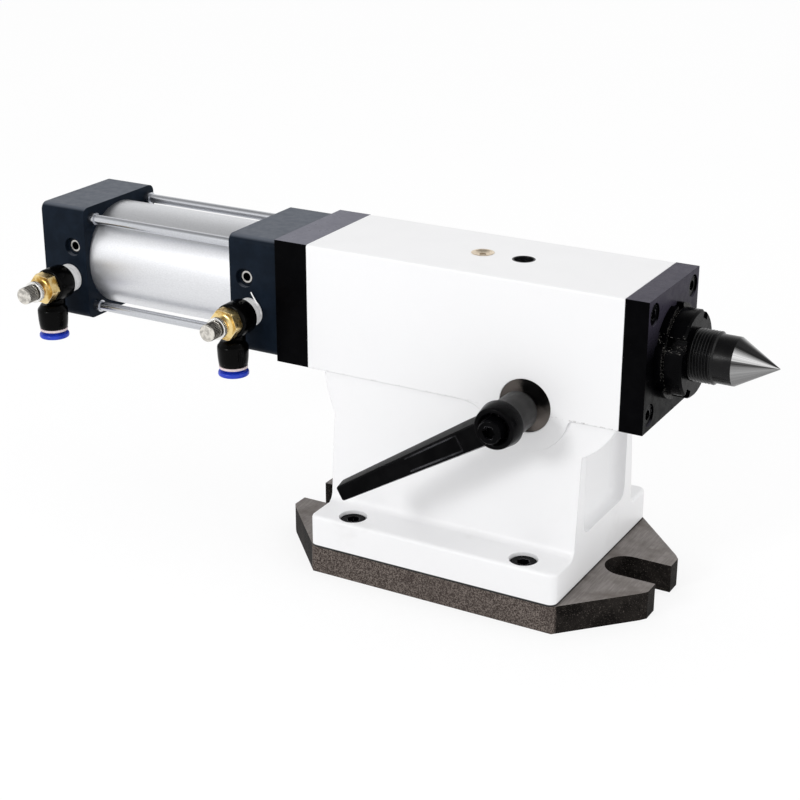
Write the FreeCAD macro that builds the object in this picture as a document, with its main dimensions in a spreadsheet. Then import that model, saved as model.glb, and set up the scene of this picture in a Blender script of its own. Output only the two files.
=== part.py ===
import FreeCAD, Part

import math
import os
import re

import Sketcher

# Pneumatic tailstock: quill housing on a cast column, base plate, clamp lever and tie-rod air cylinder.
# Millimetres. X runs along the spindle towards the centre's tip, Z is up, and the lever is on the -Y side.
# The origin is the middle of the base plate's underside.

# Driving dimensions
SIZES = {
    # base plate with an open slot at each end
    "plate_length": 206.0,
    "plate_side_step": 0.75,
    "plate_thickness": 15.0,
    "plate_body_length": 136.5,
    "lip_half_width": 20.5,
    "lip_break_run": 2.5,
    "lip_break_rise": 3.5,
    "slot_width": 22.0,
    "slot_depth": 20.0,
    # foot flange and column of the casting
    "foot_length": 139.0,
    "foot_thickness": 17.5,
    "foot_corner": 4.0,
    "foot_edge": 2.0,
    "foot_screw_span_x": 97.0,
    "foot_screw_span_y": 100.0,
    "foot_screw_edge_y": 9.0,
    "column_foot_width": 73.0,
    "column_head_width": 61.0,
    "column_root_radius": 4.0,
    "flare_height_front": 18.0,
    "flare_height_rear": 22.0,
    "flare_reach_front": 1.5,
    "flare_reach_rear": 9.0,
    "flare_radius_front": 36.0,
    "flare_radius_rear": 90.0,
    "recess_depth": 7.0,
    "recess_width": 52.0,
    "recess_floor_rise": 7.5,
    "recess_head_drop": 4.0,
    "recess_corner": 6.0,
    "recess_floor_radius": 5.0,
    "clamp_boss_radius": 23.5,
    "boss_blend_rear": 16.0,
    "boss_blend_front": 3.0,
    # quill housing
    "centre_height": 135.0,
    "housing_length": 173.0,
    "housing_width": 65.0,
    "housing_height": 66.0,
    "housing_offset": 1.0,
    "housing_edge": 1.0,
    # quill, its bore and its nose
    "quill_radius": 20.0,
    "quill_clearance": 0.03,
    "quill_length": 165.0,
    "quill_nose": 3.8,
    "quill_stroke": 50.0,
    "socket_radius": 11.9125,
    "socket_length": 82.0,
    "socket_taper_ratio": 39.844,
    "socket_relief_radius": 7.0,
    "key_slot_width": 8.0,
    "key_slot_depth": 4.0,
    "key_screw_ahead": 20.5,
    "key_screw_radius": 5.0,
    "key_dog_radius": 3.7,
    "oiler_radius": 5.0,
    "oiler_ahead": -2.0,
    "oiler_length": 7.0,
    # front flange and the ring in it
    "flange_thickness": 12.0,
    "flange_screw_pitch": 50.0,
    "ring_neck_radius": 22.0,
    "ring_neck_length": 6.0,
    "ring_head_radius": 23.5,
    "ring_head_length": 3.5,
    "ring_notch_width": 7.0,
    "ring_notch_depth": 2.6,
    "ring_clearance": 0.4,
    "wiper_thickness": 2.4,
    # dead centre and draw-off nut
    "centre_radius": 11.9,
    "centre_thread_radius": 13.0,
    "centre_thread_start": 3.0,
    "centre_thread_end": 20.0,
    "centre_cylinder_end": 29.6,
    "centre_half_angle": 30.0,
    "centre_tip_radius": 0.2,
    "taper_clearance": 0.02,
    "nut_radius": 21.5,
    "nut_thickness": 9.0,
    "nut_slot_width": 6.0,
    "nut_slot_depth": 4.0,
    "nut_edge": 1.0,
    # quill clamp and its lever
    "clamp_ahead": 38.4,
    "clamp_drop": 29.7,
    "shoe_radius": 13.75,
    "shoe_clearance": 0.05,
    "shoe_notch_gap": 0.3,
    "shoe_split": 2.0,
    "shoe_front_recess": 0.6,
    "shoe_rear_recess": 1.0,
    "stud_radius": 6.0,
    "stud_clearance": 0.2,
    "stud_rear_recess": 6.0,
    "sleeve_gap": 7.4,
    "sleeve_radius": 9.9,
    "sleeve_length": 18.7,
    "sleeve_well_radius": 8.4,
    "sleeve_well_depth": 8.0,
    "insert_bore_radius": 6.9,
    "insert_length": 3.1,
    "hub_height": 9.0,
    "hub_foot_radius": 11.8,
    "hub_top_radius": 10.3,
    "hub_clearance": 0.3,
    "hub_web": 1.4,
    "hub_chamber_radius": 5.0,
    "hub_well_radius": 7.4,
    "hub_well_floor": 2.0,
    "lever_screw_head_radius": 6.0,
    "lever_screw_head_length": 8.0,
    "lever_screw_head_rise": 4.7,
    "lever_screw_radius": 3.0,
    "lever_screw_thread": 10.0,
    "lever_angle": 30.5,
    "lever_reach": 87.6,
    "lever_rise": 20.0,
    "lever_root_centre": 1.1,
    "lever_root_back": 16.4,
    "lever_root_front": 12.0,
    "lever_root_thickness": 10.5,
    "lever_tip_back": 10.2,
    "lever_tip_thickness": 7.5,
    "lever_edge": 1.3,
    # air cylinder
    "adapter_length": 19.0,
    "adapter_bore_radius": 12.0,
    "cap_size": 63.0,
    "cap_length": 29.0,
    "cap_corner": 4.0,
    "cap_spigot": 5.0,
    "tube_length": 95.5,
    "tube_radius": 28.75,
    "bore_radius": 25.0,
    "spigot_clearance": 0.05,
    "seal_wire_radius": 1.5,
    "tie_rod_radius": 2.5,
    "tie_rod_pitch": 50.0,
    "tie_rod_clearance": 0.2,
    "tie_rod_thread": 18.0,
    "collar_radius": 3.3,
    "collar_length": 3.6,
    "end_nut_flats": 8.0,
    "end_nut_length": 4.0,
    "end_nut_well_radius": 5.2,
    "end_nut_well_depth": 5.0,
    "rod_radius": 10.0,
    "rod_clearance": 0.04,
    "rod_nose_radius": 8.0,
    "rod_nose_length": 20.0,
    "bush_radius": 13.0,
    "bush_length": 9.0,
    "rod_seal_radius": 14.0,
    "rod_seal_length": 6.0,
    "cushion_bore_radius": 14.0,
    "cushion_bore_depth": 17.5,
    "spear_radius": 12.5,
    "spear_length": 17.0,
    "cushion_seal_start": -3.5,
    "cushion_seal_length": 3.0,
    "cushion_seal_depth": 1.5,
    "piston_length": 25.0,
    "piston_gap": 4.0,
    "piston_clearance": 0.3,
    "lip_seal_length": 5.0,
    "lip_seal_depth": 4.0,
    "piston_nut_length": 8.0,
    # ports and cushion screws in the caps
    "port_inset": 12.0,
    "port_drop": 9.0,
    "port_thread_depth": 10.0,
    "passage_radius": 2.5,
    "cushion_inset": 9.0,
    "cushion_rise": 9.0,
    "cushion_well_radius": 5.1,
    "cushion_well_depth": 2.6,
    "needle_radius": 3.9,
    "needle_body_length": 9.0,
    "needle_fit": 0.05,
    # speed controllers
    "stem_thread_radius": 6.5,
    "stem_journal_radius": 6.0,
    "swivel_clearance": 0.08,
    "washer_radius": 7.7,
    "washer_thickness": 6.4,
    "elbow_ring_radius": 9.4,
    "elbow_ring_length": 12.3,
    "elbow_face_gap": 0.1,
    "barrel_offset": 16.6,
    "barrel_radius": 7.95,
    "barrel_drop": 24.0,
    "barrel_bore_radius": 6.0,
    "barrel_bore_depth": 11.0,
    "retainer_thickness": 1.2,
    "collet_travel": 1.5,
    "collet_tube_radius": 5.2,
    "collet_flange_radius": 8.15,
    "collet_flange_thickness": 2.6,
    "air_tube_radius": 4.1,
    "stem_hex_flats": 17.0,
    "stem_hex_thickness": 6.2,
    "neck_radius": 4.1,
    "neck_length": 3.4,
    "stem_tail_radius": 3.2,
    "stem_tail_length": 3.4,
    "stem_bore_radius": 2.4,
    "lock_ring_radius": 5.8,
    "lock_ring_thickness": 3.0,
    "knob_radius": 4.6,
    "knob_length": 8.6,
    "knob_edge": 0.6,
    # fits shared by screws in their holes
    "thread_fit": 0.02,
    "seal_fit": 0.06,
}

# Socket screws: head radius, head length, shank radius, shank length, key width, counterbore radius and depth
SCREWS = {
    "foot_screw": (6.5, 8.0, 4.0, 18.0, 6.0, 7.3, 9.5),
    "flange_screw": (5.0, 6.0, 3.0, 20.0, 5.0, 5.6, 6.8),
}
SCREW_FIELDS = (
    "head_radius", "head_length", "shank_radius", "shank_length", "key", "well_radius", "well_depth",
)
for screw, values in SCREWS.items():
    for field, value in zip(SCREW_FIELDS, values):
        SIZES[f"{screw}_{field}"] = value

# Places worked out from the driving dimensions
PLATE_TOP = "plate_thickness"
FOOT_WIDTH = "(foot_screw_span_y + foot_screw_edge_y * 2)"
PLATE_WIDTH = f"({FOOT_WIDTH} - plate_side_step * 2)"
FOOT_TOP = f"({PLATE_TOP} + foot_thickness)"
HOUSING_REAR = "(housing_offset - housing_length / 2)"
HOUSING_FRONT = "(housing_offset + housing_length / 2)"
HOUSING_TOP = "(centre_height + housing_height / 2)"
HOUSING_BOTTOM = "(centre_height - housing_height / 2)"
HOUSING_FACE = "(0 - housing_width / 2)"
FLANGE_FACE = f"({HOUSING_FRONT} + flange_thickness)"
QUILL_FACE = f"({FLANGE_FACE} + quill_nose)"
QUILL_REAR = f"({QUILL_FACE} - quill_length)"
CLAMP_HEIGHT = "(centre_height - clamp_drop)"
BUSH_FACE = f"({HOUSING_FACE} + shoe_front_recess)"
SLEEVE_REAR = f"({BUSH_FACE} - sleeve_gap)"
HUB_FACE = f"({SLEEVE_REAR} - sleeve_length)"
SLEEVE_FLOOR = f"({HUB_FACE} + sleeve_well_depth)"
ADAPTER_REAR = f"({HOUSING_REAR} - adapter_length)"
FRONT_CAP_REAR = f"({ADAPTER_REAR} - cap_length)"
REAR_CAP_FRONT = f"({FRONT_CAP_REAR} - tube_length)"
REAR_CAP_REAR = f"({REAR_CAP_FRONT} - cap_length)"
CAP_FACE = "(0 - cap_size / 2)"
PISTON_REAR = f"({REAR_CAP_FRONT} + cap_spigot + piston_gap)"
PORT_HEIGHT = "(centre_height - port_drop)"
CUSHION_HEIGHT = "(centre_height + cushion_rise)"
CAPS = {
    "front": {
        "port": f"({FRONT_CAP_REAR} + port_inset)",
        "cushion": f"({FRONT_CAP_REAR} + cushion_inset)",
    },
    "rear": {
        "port": f"({REAR_CAP_FRONT} - port_inset)",
        "cushion": f"({REAR_CAP_FRONT} - cushion_inset)",
    },
}
BORE_RADIUS = "(quill_radius + quill_clearance)"
TAPER_END_RADIUS = "(socket_radius - socket_length / socket_taper_ratio)"
DIRECTIONS = {
    "+X": FreeCAD.Vector(1, 0, 0), "-X": FreeCAD.Vector(-1, 0, 0),
    "+Y": FreeCAD.Vector(0, 1, 0), "-Y": FreeCAD.Vector(0, -1, 0),
    "+Z": FreeCAD.Vector(0, 0, 1), "-Z": FreeCAD.Vector(0, 0, -1),
}
BIG = "200"

doc = FreeCAD.newDocument("Tailstock")
sheet = doc.addObject("Spreadsheet::Sheet", "Sizes")
nodes = []


def fill_sheet():
    """Put each driving dimension in its own named cell."""
    for row, (name, value) in enumerate(SIZES.items(), 1):
        sheet.set(f"A{row}", name)
        sheet.set(f"B{row}", str(value))
        sheet.setAlias(f"B{row}", name)
    doc.recompute()


def bound(text):
    """Turn the size names in an expression into references to the sheet."""
    def named(found):
        return "Sizes." + found[0] if found[0] in SIZES else found[0]

    return re.sub(r"[a-z][a-z_0-9]*", named, text)


def number(text):
    """Present value of an expression."""
    return float(sheet.evalExpression(bound(text)))


def place(target, at, rotation=None):
    """Set where a piece sits, with its position bound to the sheet."""
    if rotation is not None:
        target.Placement = FreeCAD.Placement(FreeCAD.Vector(), rotation)
    for axis, text in zip("xyz", at):
        target.setExpression(f"Placement.Base.{axis}", bound(text))


def keep(target, label):
    """Name a finished piece and add it to the files to write."""
    target.Label = label
    nodes.append(target)
    return target


def shifted(at, direction, distance):
    """The place a distance further along one of the six directions."""
    moved = list(at)
    index = "XYZ".index(direction[1])
    moved[index] = f"({at[index]} {direction[0]} ({distance}))"
    return tuple(moved)


# Sketches

def sketch(owner, plane, name, offset="0"):
    """A sketch on one of the body's own planes."""
    made = owner.newObject("Sketcher::SketchObject", name)
    support = next(item for item in owner.Origin.OriginFeatures if item.Role == plane)
    made.AttachmentSupport = [(support, "")]
    made.MapMode = "FlatFace"
    if offset != "0":
        made.setExpression("AttachmentOffset.Base.z", bound(offset))
    return made


def tie(target, geometry, point, corner):
    """Hold one point of a sketch at its (x, y) expressions."""
    for kind, axis, text in (("DistanceX", -2, corner[0]), ("DistanceY", -1, corner[1])):
        if text == "0":
            target.addConstraint(Sketcher.Constraint("PointOnObject", geometry, point, axis))
            continue
        made = target.addConstraint(Sketcher.Constraint(kind, -1, 1, geometry, point, number(text)))
        target.setExpression(f"Constraints[{made}]", bound(text))


def bulge(start, end, radius):
    """An arc of the given radius from start to end, bowed to the right of that way."""
    chord = end - start
    half = chord.Length / 2
    sagitta = radius - math.sqrt(radius * radius - half * half)
    side = FreeCAD.Vector(chord.y, -chord.x, 0).normalize()
    return Part.Arc(start, (start + end) / 2 + side * sagitta, end)


def outline(target, corners):
    """A closed outline; a corner with a third entry starts an arc of that radius."""
    first = target.GeometryCount
    points = [FreeCAD.Vector(number(corner[0]), number(corner[1]), 0) for corner in corners]
    count = len(corners)
    starts = []
    for index, corner in enumerate(corners):
        start, end = points[index], points[(index + 1) % count]
        if len(corner) == 2:
            target.addGeometry(Part.LineSegment(start, end), False)
            starts.append(1)
            continue
        made = target.addGeometry(bulge(start, end, number(corner[2])), False)
        starts.append(1 if (target.getPoint(made, 1) - start).Length < 1e-6 else 2)
        held = target.addConstraint(Sketcher.Constraint("Radius", made, number(corner[2])))
        target.setExpression(f"Constraints[{held}]", bound(corner[2]))
    for index in range(count):
        after = (index + 1) % count
        end = 3 - starts[index]
        joint = Sketcher.Constraint("Coincident", first + index, end, first + after, starts[after])
        target.addConstraint(joint)
    for index, corner in enumerate(corners):
        tie(target, first + index, starts[index], corner)


def rectangle(target, low, high):
    """A closed rectangle between two (x, y) corners."""
    outline(target, [low, (high[0], low[1]), high, (low[0], high[1])])


def circle(target, centre, radius):
    """A circle held at its centre and radius."""
    middle = FreeCAD.Vector(number(centre[0]), number(centre[1]), 0)
    made = target.addGeometry(Part.Circle(middle, FreeCAD.Vector(0, 0, 1), number(radius)), False)
    tie(target, made, 3, centre)
    held = target.addConstraint(Sketcher.Constraint("Radius", made, number(radius)))
    target.setExpression(f"Constraints[{held}]", bound(radius))


def hexagon(target, flats):
    """A regular hexagon about the sketch's origin, its flats facing along y."""
    corners = []
    for step in range(6):
        turn = 60 * step
        across = "0" if turn in (90, 270) else f"{flats} / sqrt(3) * cos({turn} deg)"
        up = "0" if turn in (0, 180) else f"{flats} / sqrt(3) * sin({turn} deg)"
        corners.append((across, up))
    outline(target, corners)


# Features of a body

def body(label):
    """An empty body that will be one piece."""
    return keep(doc.addObject("PartDesign::Body", label + "_body"), label)


def settle(owner, feature, grows):
    """Make a feature the body's tip and make sure that it added or removed material."""
    before = 0 if owner.Shape.isNull() else owner.Shape.Volume
    owner.Tip = feature
    doc.recompute()
    change = owner.Shape.Volume - before
    if change * (1 if grows else -1) <= 0:
        raise ValueError(f"{feature.Name} changed the volume by {change:.3f}")
    return feature


def pad(owner, profile, length, symmetric=False, reverse=False):
    """Raise a profile by a length along its normal, or against it."""
    made = owner.newObject("PartDesign::Pad", profile.Name + "_pad")
    made.Profile = profile
    made.setExpression("Length", bound(length))
    made.SideType = "Symmetric" if symmetric else "One side"
    made.Reversed = reverse
    return settle(owner, made, True)


def pocket(owner, profile, length, symmetric=False, reverse=False):
    """Cut a profile by a length against its normal, or along it."""
    made = owner.newObject("PartDesign::Pocket", profile.Name + "_pocket")
    made.Profile = profile
    made.setExpression("Length", bound(length))
    made.SideType = "Symmetric" if symmetric else "One side"
    made.Reversed = reverse
    return settle(owner, made, False)


def revolve(owner, profile, axis):
    """Turn a profile about one of its sketch's own axes."""
    made = owner.newObject("PartDesign::Revolution", profile.Name + "_turned")
    made.Profile = profile
    made.ReferenceAxis = (profile, [axis])
    made.Angle = 360
    return settle(owner, made, True)


def turned_groove(owner, name, low, high):
    """Cut a rectangle of (x, radius) corners all the way round the X axis."""
    drawn = sketch(owner, "XY_Plane", name)
    rectangle(drawn, low, high)
    made = owner.newObject("PartDesign::Groove", name + "_cut")
    made.Profile = drawn
    made.ReferenceAxis = (drawn, ["H_Axis"])
    made.Angle = 360
    return settle(owner, made, False)


def polar(owner, feature, axis_of, axis, count):
    """Repeat a feature evenly round an axis."""
    made = owner.newObject("PartDesign::PolarPattern", feature.Name + "_round")
    made.Originals = [feature]
    made.Axis = (axis_of, [axis])
    made.Angle = 360
    made.Occurrences = count
    return settle(owner, made, False)


def edges_where(shape, test):
    """Names of the edges whose middle point and direction pass a test."""
    found = []
    for index, edge in enumerate(shape.Edges, 1):
        middle = edge.valueAt((edge.FirstParameter + edge.LastParameter) / 2)
        if test(edge, middle):
            found.append(f"Edge{index}")
    return found


def soften(owner, kind, size, test):
    """Fillet or chamfer the edges of the body that pass a test."""
    base = owner.Tip
    made = owner.newObject(f"PartDesign::{kind}", f"{base.Name}_{kind}")
    made.Base = (base, edges_where(base.Shape, test))
    made.setExpression("Radius" if kind == "Fillet" else "Size", bound(size))
    owner.Tip = made
    doc.recompute()
    return made


def runs_along(edge, axis):
    """Whether an edge is straight and parallel to an axis."""
    if not isinstance(edge.Curve, Part.Line):
        return False
    way = edge.Curve.Direction
    return abs(abs(way.dot(DIRECTIONS["+" + axis])) - 1) < 1e-6


def turned(label, axis, profile, at=("0", "0", "0")):
    """A piece turned about an axis, from (place along the axis, radius) pairs."""
    owner = body(label)
    drawn = sketch(owner, "XZ_Plane" if axis == "Z" else "XY_Plane", label + "_profile")
    if axis == "X":
        outline(drawn, profile)
    else:
        outline(drawn, [(radius, along) for along, radius in profile])
    revolve(owner, drawn, "H_Axis" if axis == "X" else "V_Axis")
    place(owner, at)
    return owner


def ring(label, axis, start, end, inner, outer, at=("0", "0", "0")):
    """A plain ring or sleeve between two places along an axis."""
    return turned(label, axis, [(start, inner), (start, outer), (end, outer), (end, inner)], at)


# Primitives

def cylinder(name, radius, length, at, direction):
    """A cylinder from a place, along one of the six directions."""
    made = doc.addObject("Part::Cylinder", name)
    made.setExpression("Radius", bound(radius))
    made.setExpression("Height", bound(length))
    place(made, at, FreeCAD.Rotation(DIRECTIONS["+Z"], DIRECTIONS[direction]))
    return made


def hexagonal_bar(name, flats, length, at, direction):
    """A hexagonal bar from a place, along one of the six directions."""
    made = doc.addObject("Part::Prism", name)
    made.Polygon = 6
    made.setExpression("Circumradius", bound(f"{flats} / sqrt(3)"))
    made.setExpression("Height", bound(length))
    place(made, at, FreeCAD.Rotation(DIRECTIONS["+Z"], DIRECTIONS[direction]))
    return made


def cut(name, base, tool):
    """One solid less another."""
    made = doc.addObject("Part::Cut", name)
    made.Base = base
    made.Tool = tool
    return made


def joined(name, parts):
    """Several solids made into one."""
    made = doc.addObject("Part::MultiFuse", name)
    made.Shapes = parts
    made.Refine = True
    return made


def group(label, solids):
    """Separate equal solids kept in one file."""
    made = doc.addObject("Part::Compound", label + "_group")
    made.Links = solids
    return keep(made, label)


def torus(name, ring_radius, wire_radius, at):
    """A ring seal about an axis along X."""
    made = doc.addObject("Part::Torus", name)
    made.setExpression("Radius1", bound(ring_radius))
    made.setExpression("Radius2", bound(wire_radius))
    place(made, at, FreeCAD.Rotation(DIRECTIONS["+Z"], DIRECTIONS["+X"]))
    return made


def socket_screw(name, screw, seat, direction):
    """A socket head screw whose head sits on a seat, with its shank along a direction."""
    away = ("-" if direction[0] == "+" else "+") + direction[1]
    head = cylinder(name + "_head", f"{screw}_head_radius", f"{screw}_head_length", seat, away)
    shank = cylinder(name + "_shank", f"{screw}_shank_radius", f"{screw}_shank_length", seat, direction)
    top = shifted(seat, away, f"{screw}_head_length")
    key = hexagonal_bar(name + "_key", f"{screw}_key", f"{screw}_head_length / 2", top, direction)
    return cut(name, joined(name + "_blank", [head, shank]), key)


def four_corners(span_x, span_y):
    """The four (x, y) pairs of a rectangle about the origin."""
    signs = [(x, y) for x in ("0 + ", "0 - ") for y in ("0 - ", "0 + ")]
    return [(f"({x}{span_x} / 2)", f"({y}{span_y} / 2)") for x, y in signs]


# Base plate

def base_plate():
    """Steel plate with clipped corners, an open slot at each end and four tapped holes."""
    owner = body("base_plate")
    right = [
        ("plate_body_length / 2", f"{PLATE_WIDTH} / 2"),
        ("plate_length / 2 - lip_break_run", "lip_half_width + lip_break_rise"),
        ("plate_length / 2", "lip_half_width"),
    ]
    lower = [(x, f"0 - ({y})") for x, y in reversed(right)]
    corners = right + lower
    corners += [(f"0 - ({x})", y) for x, y in reversed(corners)]
    drawn = sketch(owner, "XY_Plane", "plate_outline")
    outline(drawn, corners)
    pad(owner, drawn, "plate_thickness")
    centre = "plate_length / 2 - slot_depth"
    for side in ("0 + ", "0 - "):
        name = "slot_front" if "+" in side else "slot_rear"
        mouth = sketch(owner, "XY_Plane", name + "_mouth")
        low = (f"{side}({centre})", "0 - slot_width / 2")
        high = (f"{side}(plate_length)", "slot_width / 2")
        rectangle(mouth, low, high)
        pocket(owner, mouth, BIG, symmetric=True)
        end = sketch(owner, "XY_Plane", name + "_end")
        circle(end, (f"{side}({centre})", "0"), "slot_width / 2")
        pocket(owner, end, BIG, symmetric=True)
    taps = sketch(owner, "XY_Plane", "foot_taps")
    for spot in four_corners("foot_screw_span_x", "foot_screw_span_y"):
        circle(taps, spot, "foot_screw_shank_radius + thread_fit")
    pocket(owner, taps, BIG, symmetric=True)


# Casting

def add_column(owner):
    """The column: straight ends that flare under the housing, and sides that lean inwards."""
    drawn = sketch(owner, "XZ_Plane", "column_side")
    foot = "foot_length / 2"
    root = f"{FOOT_TOP} - foot_thickness / 2"
    outline(drawn, [
        (f"0 - {foot}", root),
        (foot, root),
        (foot, f"{HOUSING_BOTTOM} - flare_height_front", "flare_radius_front"),
        (f"{HOUSING_FRONT} - flare_reach_front", HOUSING_BOTTOM),
        (f"{HOUSING_FRONT} - flare_reach_front", f"{HOUSING_BOTTOM} + housing_edge * 2"),
        (f"{HOUSING_REAR} + flare_reach_rear", f"{HOUSING_BOTTOM} + housing_edge * 2"),
        (f"{HOUSING_REAR} + flare_reach_rear", HOUSING_BOTTOM, "flare_radius_rear"),
        (f"0 - {foot}", f"{HOUSING_BOTTOM} - flare_height_rear"),
    ])
    pad(owner, drawn, "column_foot_width", symmetric=True)
    for side in ("0 + ", "0 - "):
        lean = sketch(owner, "YZ_Plane", "column_lean_" + ("back" if "+" in side else "front"))
        outline(lean, [
            (f"{side}column_foot_width / 2", FOOT_TOP),
            (f"{side}(column_foot_width)", FOOT_TOP),
            (f"{side}(column_foot_width)", f"{HOUSING_BOTTOM} + housing_edge * 3"),
            (f"{side}column_head_width / 2", f"{HOUSING_BOTTOM} + housing_edge * 3"),
        ])
        pocket(owner, lean, "500", symmetric=True)


def add_foot(owner):
    """The foot flange, with rounded corners and a softened top edge."""
    drawn = sketch(owner, "XY_Plane", "foot_outline", PLATE_TOP)
    low = ("0 - foot_length / 2", f"0 - {FOOT_WIDTH} / 2")
    rectangle(drawn, low, ("foot_length / 2", f"{FOOT_WIDTH} / 2"))
    pad(owner, drawn, "foot_thickness")
    half = number(f"{FOOT_WIDTH} / 2")
    soften(owner, "Fillet", "foot_corner",
           lambda edge, middle: runs_along(edge, "Z") and abs(abs(middle.y) - half) < 1e-3)
    top = number(FOOT_TOP)
    root = number("column_foot_width / 2")
    soften(owner, "Fillet", "foot_edge",
           lambda edge, middle: abs(middle.z - top) < 1e-3 and abs(middle.y) > root + 1e-3)
    soften(owner, "Fillet", "column_root_radius",
           lambda edge, middle: abs(middle.z - top) < 1e-3 and abs(abs(middle.y) - root) < 1e-3
           and runs_along(edge, "X"))


def add_housing_block(owner):
    """The square housing and the clamp's boss below it, blended into the housing's underside."""
    drawn = sketch(owner, "YZ_Plane", "housing_section", HOUSING_REAR)
    rectangle(drawn, ("0 - housing_width / 2", HOUSING_BOTTOM), ("housing_width / 2", HOUSING_TOP))
    pad(owner, drawn, "housing_length")
    boss = sketch(owner, "XZ_Plane", "clamp_boss")
    circle(boss, ("clamp_ahead", CLAMP_HEIGHT), "clamp_boss_radius")
    pad(owner, boss, "housing_width", symmetric=True)
    above = f"{HOUSING_BOTTOM} + housing_edge"
    for side, radius in (("-", "boss_blend_rear"), ("+", "boss_blend_front")):
        drop = f"({CLAMP_HEIGHT} - {HOUSING_BOTTOM} + {radius})"
        run = f"sqrt((clamp_boss_radius + {radius}) ^ 2 - {drop} ^ 2)"
        share = f"clamp_boss_radius / (clamp_boss_radius + {radius})"
        low = f"{CLAMP_HEIGHT} - {share} * {drop}"
        on_boss = (f"clamp_ahead {side} {share} * {run}", low)
        on_block = (f"clamp_ahead {side} {run}", HOUSING_BOTTOM)
        inside = [("clamp_ahead", low), ("clamp_ahead", above)]
        outside = (f"clamp_ahead {side} {run}", above)
        blend = sketch(owner, "XZ_Plane", radius)
        if side == "-":
            outline(blend, [on_boss + (radius,), on_block, outside, inside[1], inside[0]])
        else:
            outline(blend, [on_block + (radius,), on_boss, inside[0], inside[1], outside])
        pad(owner, blend, "housing_width", symmetric=True)


def cut_end_recesses(owner):
    """The shallow cast recess in each end of the column, rounded where it was cored."""
    low = f"{FOOT_TOP} + recess_floor_rise"
    high = f"{HOUSING_BOTTOM} - recess_head_drop"
    floor = number("foot_length / 2 - recess_depth")
    head = number(high)
    for side, name in (("0 + ", "front"), ("0 - ", "rear")):
        drawn = sketch(owner, "YZ_Plane", "recess_" + name, f"{side}(foot_length / 2 - recess_depth)")
        outline(drawn, [
            ("0 - recess_width / 2 + recess_corner", low),
            ("recess_width / 2 - recess_corner", low, "recess_corner"),
            ("recess_width / 2", f"{low} + recess_corner"),
            ("recess_width / 2", high),
            ("0 - recess_width / 2", high),
            ("0 - recess_width / 2", f"{low} + recess_corner", "recess_corner"),
        ])
        pocket(owner, drawn, "recess_depth * 3", reverse="+" in side)
        soften(owner, "Fillet", "recess_floor_radius",
               lambda edge, middle: abs(abs(middle.x) - floor) < 1e-3 and middle.z < head - 1e-3
               and (middle.x > 0) == ("+" in side))


def cut_quill_bore(owner):
    """The quill's bore, the oil hole, the key screw's hole and the clamp's cross bore."""
    bore = sketch(owner, "YZ_Plane", "quill_bore")
    circle(bore, ("0", "centre_height"), BORE_RADIUS)
    pocket(owner, bore, "600", symmetric=True)
    cross = sketch(owner, "XZ_Plane", "clamp_bore")
    circle(cross, ("clamp_ahead", CLAMP_HEIGHT), "shoe_radius + shoe_clearance")
    pocket(owner, cross, BIG, symmetric=True)
    for name, ahead, radius, depth in (
        ("oiler_seat", "oiler_ahead", "oiler_radius", "oiler_length"),
        ("oil_passage", "oiler_ahead", "oiler_radius / 3", "housing_height / 2"),
        ("key_screw_hole", "key_screw_ahead", "key_screw_radius + thread_fit", "housing_height / 2"),
    ):
        hole = sketch(owner, "XY_Plane", name, HOUSING_TOP)
        circle(hole, (ahead, "0"), radius)
        pocket(owner, hole, depth)


def cut_screw_holes(owner):
    """Holes for the foot screws, the flange screws and the tie rods."""
    wells = sketch(owner, "XY_Plane", "foot_wells", FOOT_TOP)
    holes = sketch(owner, "XY_Plane", "foot_holes", FOOT_TOP)
    for spot in four_corners("foot_screw_span_x", "foot_screw_span_y"):
        circle(wells, spot, "foot_screw_well_radius")
        circle(holes, spot, "foot_screw_shank_radius + tie_rod_clearance")
    pocket(owner, wells, "foot_screw_well_depth")
    pocket(owner, holes, "foot_thickness")
    front = sketch(owner, "YZ_Plane", "flange_taps", HOUSING_FRONT)
    rear = sketch(owner, "YZ_Plane", "tie_rod_taps", HOUSING_REAR)
    for y, z in four_corners("flange_screw_pitch", "flange_screw_pitch"):
        circle(front, (y, f"centre_height + {z}"), "flange_screw_shank_radius + thread_fit")
    for y, z in four_corners("tie_rod_pitch", "tie_rod_pitch"):
        circle(rear, (y, f"centre_height + {z}"), "tie_rod_radius + thread_fit")
    pocket(owner, front, "flange_screw_shank_length")
    pocket(owner, rear, "tie_rod_thread + 2", reverse=True)


def housing():
    """The casting: foot flange, column and quill housing."""
    owner = body("housing")
    add_column(owner)
    add_foot(owner)
    add_housing_block(owner)
    cut_end_recesses(owner)
    cut_quill_bore(owner)
    cut_screw_holes(owner)
    top = number(HOUSING_TOP)
    half = number("housing_width / 2")
    soften(owner, "Fillet", "housing_edge", lambda edge, middle: runs_along(edge, "X")
           and abs(middle.z - top) < 1e-3 and abs(abs(middle.y) - half) < 1e-3)


def foot_screws():
    """Four screws that hold the casting down on the plate."""
    seat = f"({FOOT_TOP} - foot_screw_well_depth)"
    places = [(x, y, seat) for x, y in four_corners("foot_screw_span_x", "foot_screw_span_y")]
    screws = [socket_screw(f"foot_screw_{n}", "foot_screw", at, "-Z") for n, at in enumerate(places)]
    group("foot_screws", screws)


# Nose

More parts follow.
